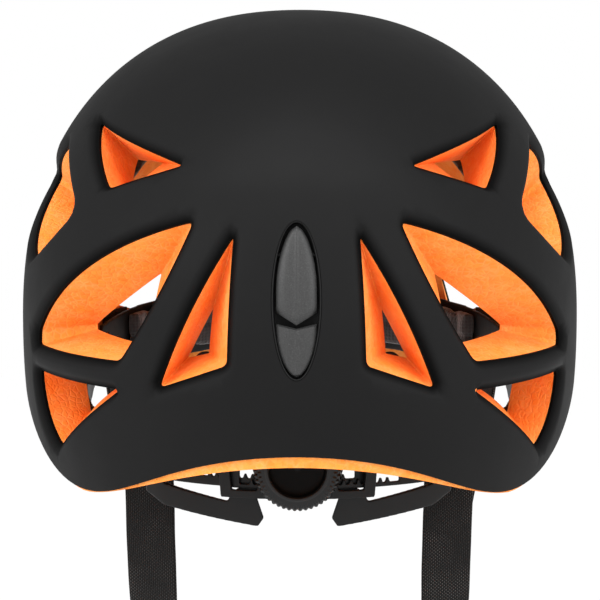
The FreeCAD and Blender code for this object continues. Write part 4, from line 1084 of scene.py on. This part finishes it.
def build_straps():
    """The straps; the left chin strap is made from the same stations as the right one, its CAD piece hidden,
    and is baked in place.
    """
    for side, flip in (("left", 1), ("right", -1)):
        for name, stations, seed in (("rear_strap", REAR_STRAP, 0.4), ("front_strap", FRONT_STRAP, 1.7)):
            node = f"{name}_{side}"
            piece = ribbon(node + "_webbing", stations, flip, seed=seed + (0.9 if flip < 0 else 0))
            settle(piece, WEBBING, node)
    strap = chin_strap()
    settle(ribbon("chin_strap_right_webbing", strap, -1, ripple=0.05), WEBBING, "chin_strap_right")
    settle(ribbon("chin_tail_webbing", chin_tail(), -1, ripple=0.04), WEBBING, "chin_strap_tail")
    left = ribbon("chin_strap_left_webbing", strap, 1, ripple=0.05)
    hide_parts("chin_strap_left")
    low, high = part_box("chin_strap_left")
    start, end = (low.x, high.y, high.z), (high.x - 0.006, high.y, low.z)
    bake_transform(left)
    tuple(start)
    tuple(end)


# --- pads ---------------------------------------------------------------------------------------
SEAM_DEPTH, SEAM_WIDTH = 0.9, 1.1


def inflated(piece, voxel, pressure, cap, frames=16):
    """Cloth over a stuffed pad: remeshed, blown up by pressure, and held within a cap."""
    remesh = piece.modifiers.new("skin", "REMESH")
    remesh.mode, remesh.voxel_size = "VOXEL", voxel * MM
    applied(piece)
    rest = read(piece.data.vertices, "co")
    cloth = piece.modifiers.new("cloth", "CLOTH")
    cloth.settings.quality = 5
    cloth.settings.use_pressure = True
    cloth.settings.uniform_pressure_force = pressure
    cloth.settings.effector_weights.gravity = 0
    scene = bpy.context.scene
    for step in range(1, frames + 1):
        scene.frame_set(step)
    graph = bpy.context.evaluated_depsgraph_get()
    shift = read(piece.evaluated_get(graph).to_mesh().vertices, "co") - rest
    size = np.linalg.norm(shift, axis=1, keepdims=True)
    shift *= np.minimum(1, cap * MM / np.maximum(size, 1e-9))
    piece.modifiers.clear()
    scene.frame_set(1)
    piece.data.vertices.foreach_set("co", (rest + shift).ravel())
    piece.data.update()


def pad(node, name, channels):
    """A padded piece with sewn channels; channels gives the distance of points (mm) from the nearest."""
    piece = cad_copy(node, name)
    inflated(piece, 2.0, 3.0, 1.0)
    soft = piece.modifiers.new("even", "SMOOTH")
    soft.iterations, soft.factor = 4, 0.5
    finer = piece.modifiers.new("fine", "SUBSURF")
    finer.levels = finer.render_levels = 1
    applied(piece)
    mesh = piece.data
    co, normals = read(mesh.vertices, "co"), read(mesh.vertices, "normal")
    sewn = SEAM_DEPTH * np.exp(-((channels(co / MM) / SEAM_WIDTH) ** 2)) * MM
    mesh.vertices.foreach_set("co", (co - normals * sewn[:, None]).ravel())
    shade_smooth(mesh)
    mesh.update()
    settle(piece, PAD_FABRIC, node)


def every(value, step):
    """Distance from the nearest multiple of a step."""
    return np.abs((value / step) - np.round(value / step)) * step


def build_pads():
    """The pads, each with its row of channels; the brow pad has one along it too."""
    pad("crown_pads", "crown_padding", lambda p: every(p[:, 1] + 10, 22.0))
    pad("brow_pad", "brow_padding",
        lambda p: np.minimum(every(p[:, 0] + 9, 18.0), np.abs(p[:, 2] + 15.5)))
    pad("nape_pad", "nape_padding", lambda p: every(p[:, 0], 12.0))


# --- the rest of the pieces ---------------------------------------------------------------------
# Mouldings: the visual piece, its material, the size of its voxels and its rounds of smoothing
MOULDED = {"nape_frame": ("nape_wings", HARNESS_PLASTIC, 0.42, 5),
           "dial_housing": ("housing_moulding", HARNESS_PLASTIC, 0.4, 3),
           "rack_band_left": ("rack_left", HARNESS_PLASTIC, 0.26, 2),
           "rack_band_right": ("rack_right", HARNESS_PLASTIC, 0.26, 2),
           "headband": ("headband_moulding", HARNESS_PLASTIC, 0.5, 3),
           "divider_left": ("divider_left_moulding", BUCKLE_PLASTIC, 0.4, 3),
           "divider_right": ("divider_right_moulding", BUCKLE_PLASTIC, 0.4, 3),
           "buckle_socket": ("socket_moulding", BUCKLE_PLASTIC, 0.34, 3),
           "buckle_plug": ("plug_moulding", BUCKLE_PLASTIC, 0.34, 3),
           "strap_keeper": ("keeper_loop", RUBBER, 0.3, 3)}
PLAIN = ((HARNESS_PLASTIC, ("temple_pin_left", "temple_pin_right", "dial_pinion")),
         (STEEL, ("housing_screws", "dial_screw", "rear_clip_pin", "front_left_clip_pin",
                  "front_right_clip_pin")))
ANCHOR_SHARE = 0.6


def connected(verts):
    """The points of a mesh, as sets that are joined by edges."""
    left = set(verts)
    while left:
        group, edge = set(), [next(iter(left))]
        while edge:
            vert = edge.pop()
            if vert not in group:
                group.add(vert)
                edge += [e.other_vert(vert) for e in vert.link_edges]
        left -= group
        yield group


def build_anchors():
    """The anchors, drawn in towards the head so that their outer ends don't show in the vents."""
    piece = cad_copy("strap_anchors", "anchor_heads")
    with edited(piece.data) as bm:
        for group in connected(bm.verts):
            order = sorted(group, key=lambda v: Vector((v.co.x, v.co.y)).length)
            near = sum((v.co for v in order[:8]), Vector()) / 8
            for vert in group:
                vert.co = near + (vert.co - near) * ANCHOR_SHARE
    settle(piece, HARNESS_PLASTIC, "strap_anchors")


def build_mouldings():
    """The moulded pieces, and materials for the CAD pieces that show as they are."""
    for node, (name, material, voxel, rounds) in MOULDED.items():
        moulded(node, name, material, voxel, rounds)
    for material, nodes in PLAIN:
        for node in nodes:
            for slot in frame["nodes"][node].material_slots:
                slot.link = "OBJECT"
                slot.material = material


# --- stage --------------------------------------------------------------------------------------
def area(name, place, target, size, power):
    """A round lamp of a size in metres and a power in watts."""
    data = bpy.data.lights.new(name, "AREA")
    data.shape, data.size, data.energy = "DISK", size, power
    lamp = placed(name, data)
    lamp.location = place
    lamp.rotation_euler = (Vector(target) - Vector(place)).to_track_quat("-Z", "Y").to_euler()


def build_world():
    """A white studio, brightest behind the camera and dimmer on its far side."""
    world = bpy.data.worlds.new("studio")
    bpy.context.scene.world = world
    world.use_nodes = True
    tree = world.node_tree
    back = tree.nodes["Background"]
    back.inputs["Color"].default_value = (1, 1, 1, 1)

    def node(kind, links, values=()):
        new = tree.nodes.new(kind)
        for index, output in links.items():
            tree.links.new(output, new.inputs[index])
        for index, value in values:
            new.inputs[index].default_value = value
        return new

    paths = node("ShaderNodeLightPath", {})
    rays = {0: paths.outputs["Is Camera Ray"], 1: paths.outputs["Is Transmission Ray"]}
    seen = node("ShaderNodeMath", rays)
    seen.operation = "MAXIMUM"
    parts = node("ShaderNodeSeparateXYZ", {0: node("ShaderNodeTexCoord", {}).outputs["Generated"]})
    falling = ((1, -0.15), (2, 0.6), (3, 1.5), (4, 0.45))
    far_side = node("ShaderNodeMapRange", {0: parts.outputs["Y"]}, falling)
    strength = node("ShaderNodeMapRange", {0: seen.outputs[0], 3: far_side.outputs[0]}, ((4, 1.0),))
    tree.links.new(strength.outputs[0], back.inputs["Strength"])


def build_floor():
    """A white floor that keeps the shadow; from below it is clear, so that the inside can be seen."""
    drop, reach = 0.002, 1.6
    bpy.ops.mesh.primitive_circle_add(vertices=96, radius=reach, fill_type="NGON",
                                      location=(0, 0, CAD_BOX[0][2] - drop))
    floor = bpy.context.object
    floor.name = "floor"
    m = Nodes("floor_white")
    m.tree.nodes.remove(m.bsdf)
    diffuse = m.add("ShaderNodeBsdfDiffuse", {"Color": (0.8, 0.8, 0.8, 1)})
    glow = m.add("ShaderNodeEmission", {"Color": (1, 1, 1, 1), "Strength": 1.0})
    rays = m.add("ShaderNodeLightPath").outputs["Is Camera Ray"]
    radius = m.add("ShaderNodeVectorMath", {0: m.coords()}, operation="LENGTH").outputs["Value"]
    share = m.math("MULTIPLY", rays, m.span(radius, 0.35, 1.3, 0.72, 1.0))
    white = m.add("ShaderNodeMixShader", {0: share, 1: diffuse.outputs[0], 2: glow.outputs[0]})
    clear = m.add("ShaderNodeBsdfTransparent")
    below = m.add("ShaderNodeNewGeometry").outputs["Backfacing"]
    both = m.add("ShaderNodeMixShader", {0: below, 1: white.outputs[0], 2: clear.outputs[0]})
    m.put(m.tree.nodes["Material Output"], {"Surface": both.outputs[0]})
    floor.data.materials.append(m.material)


def build_stage():
    """World, floor and lamps."""
    bpy.context.scene.view_settings.view_transform = "Standard"
    build_world()
    build_floor()
    area("key", (-1.5, -1.1, 0.9), (0, 0, 0.02), 1.1, 13)
    area("fill", (1.5, -1.1, 0.9), (0, 0, 0.02), 1.1, 11)
    area("over", (0, -1.0, 1.7), (0, -0.05, 0.0), 0.8, 13)


def build_camera():
    """The view: from behind, a little above, through a long lens."""
    elevation, turn, away = radians(8), radians(0.55), 1.15
    target = Vector((0, 0, 0.007))
    back = Vector((sin(turn) * cos(elevation), -cos(turn) * cos(elevation), sin(elevation)))
    data = bpy.data.cameras.new("camera")
    data.sensor_width, data.lens = 36.0, 177.6
    camera = placed("camera", data)
    camera.location = target + back * away
    camera.rotation_euler = (-back).to_track_quat("-Z", "Y").to_euler()
    bpy.context.scene.camera = camera


build_camera()
build_stage()
settle(build_shell(), SHELL_MATERIAL, "outer_shell")
settle(build_foam(), FOAM_MATERIAL, "foam_liner")
build_clips()
build_knob()
build_straps()
build_pads()
build_mouldings()
build_anchors()
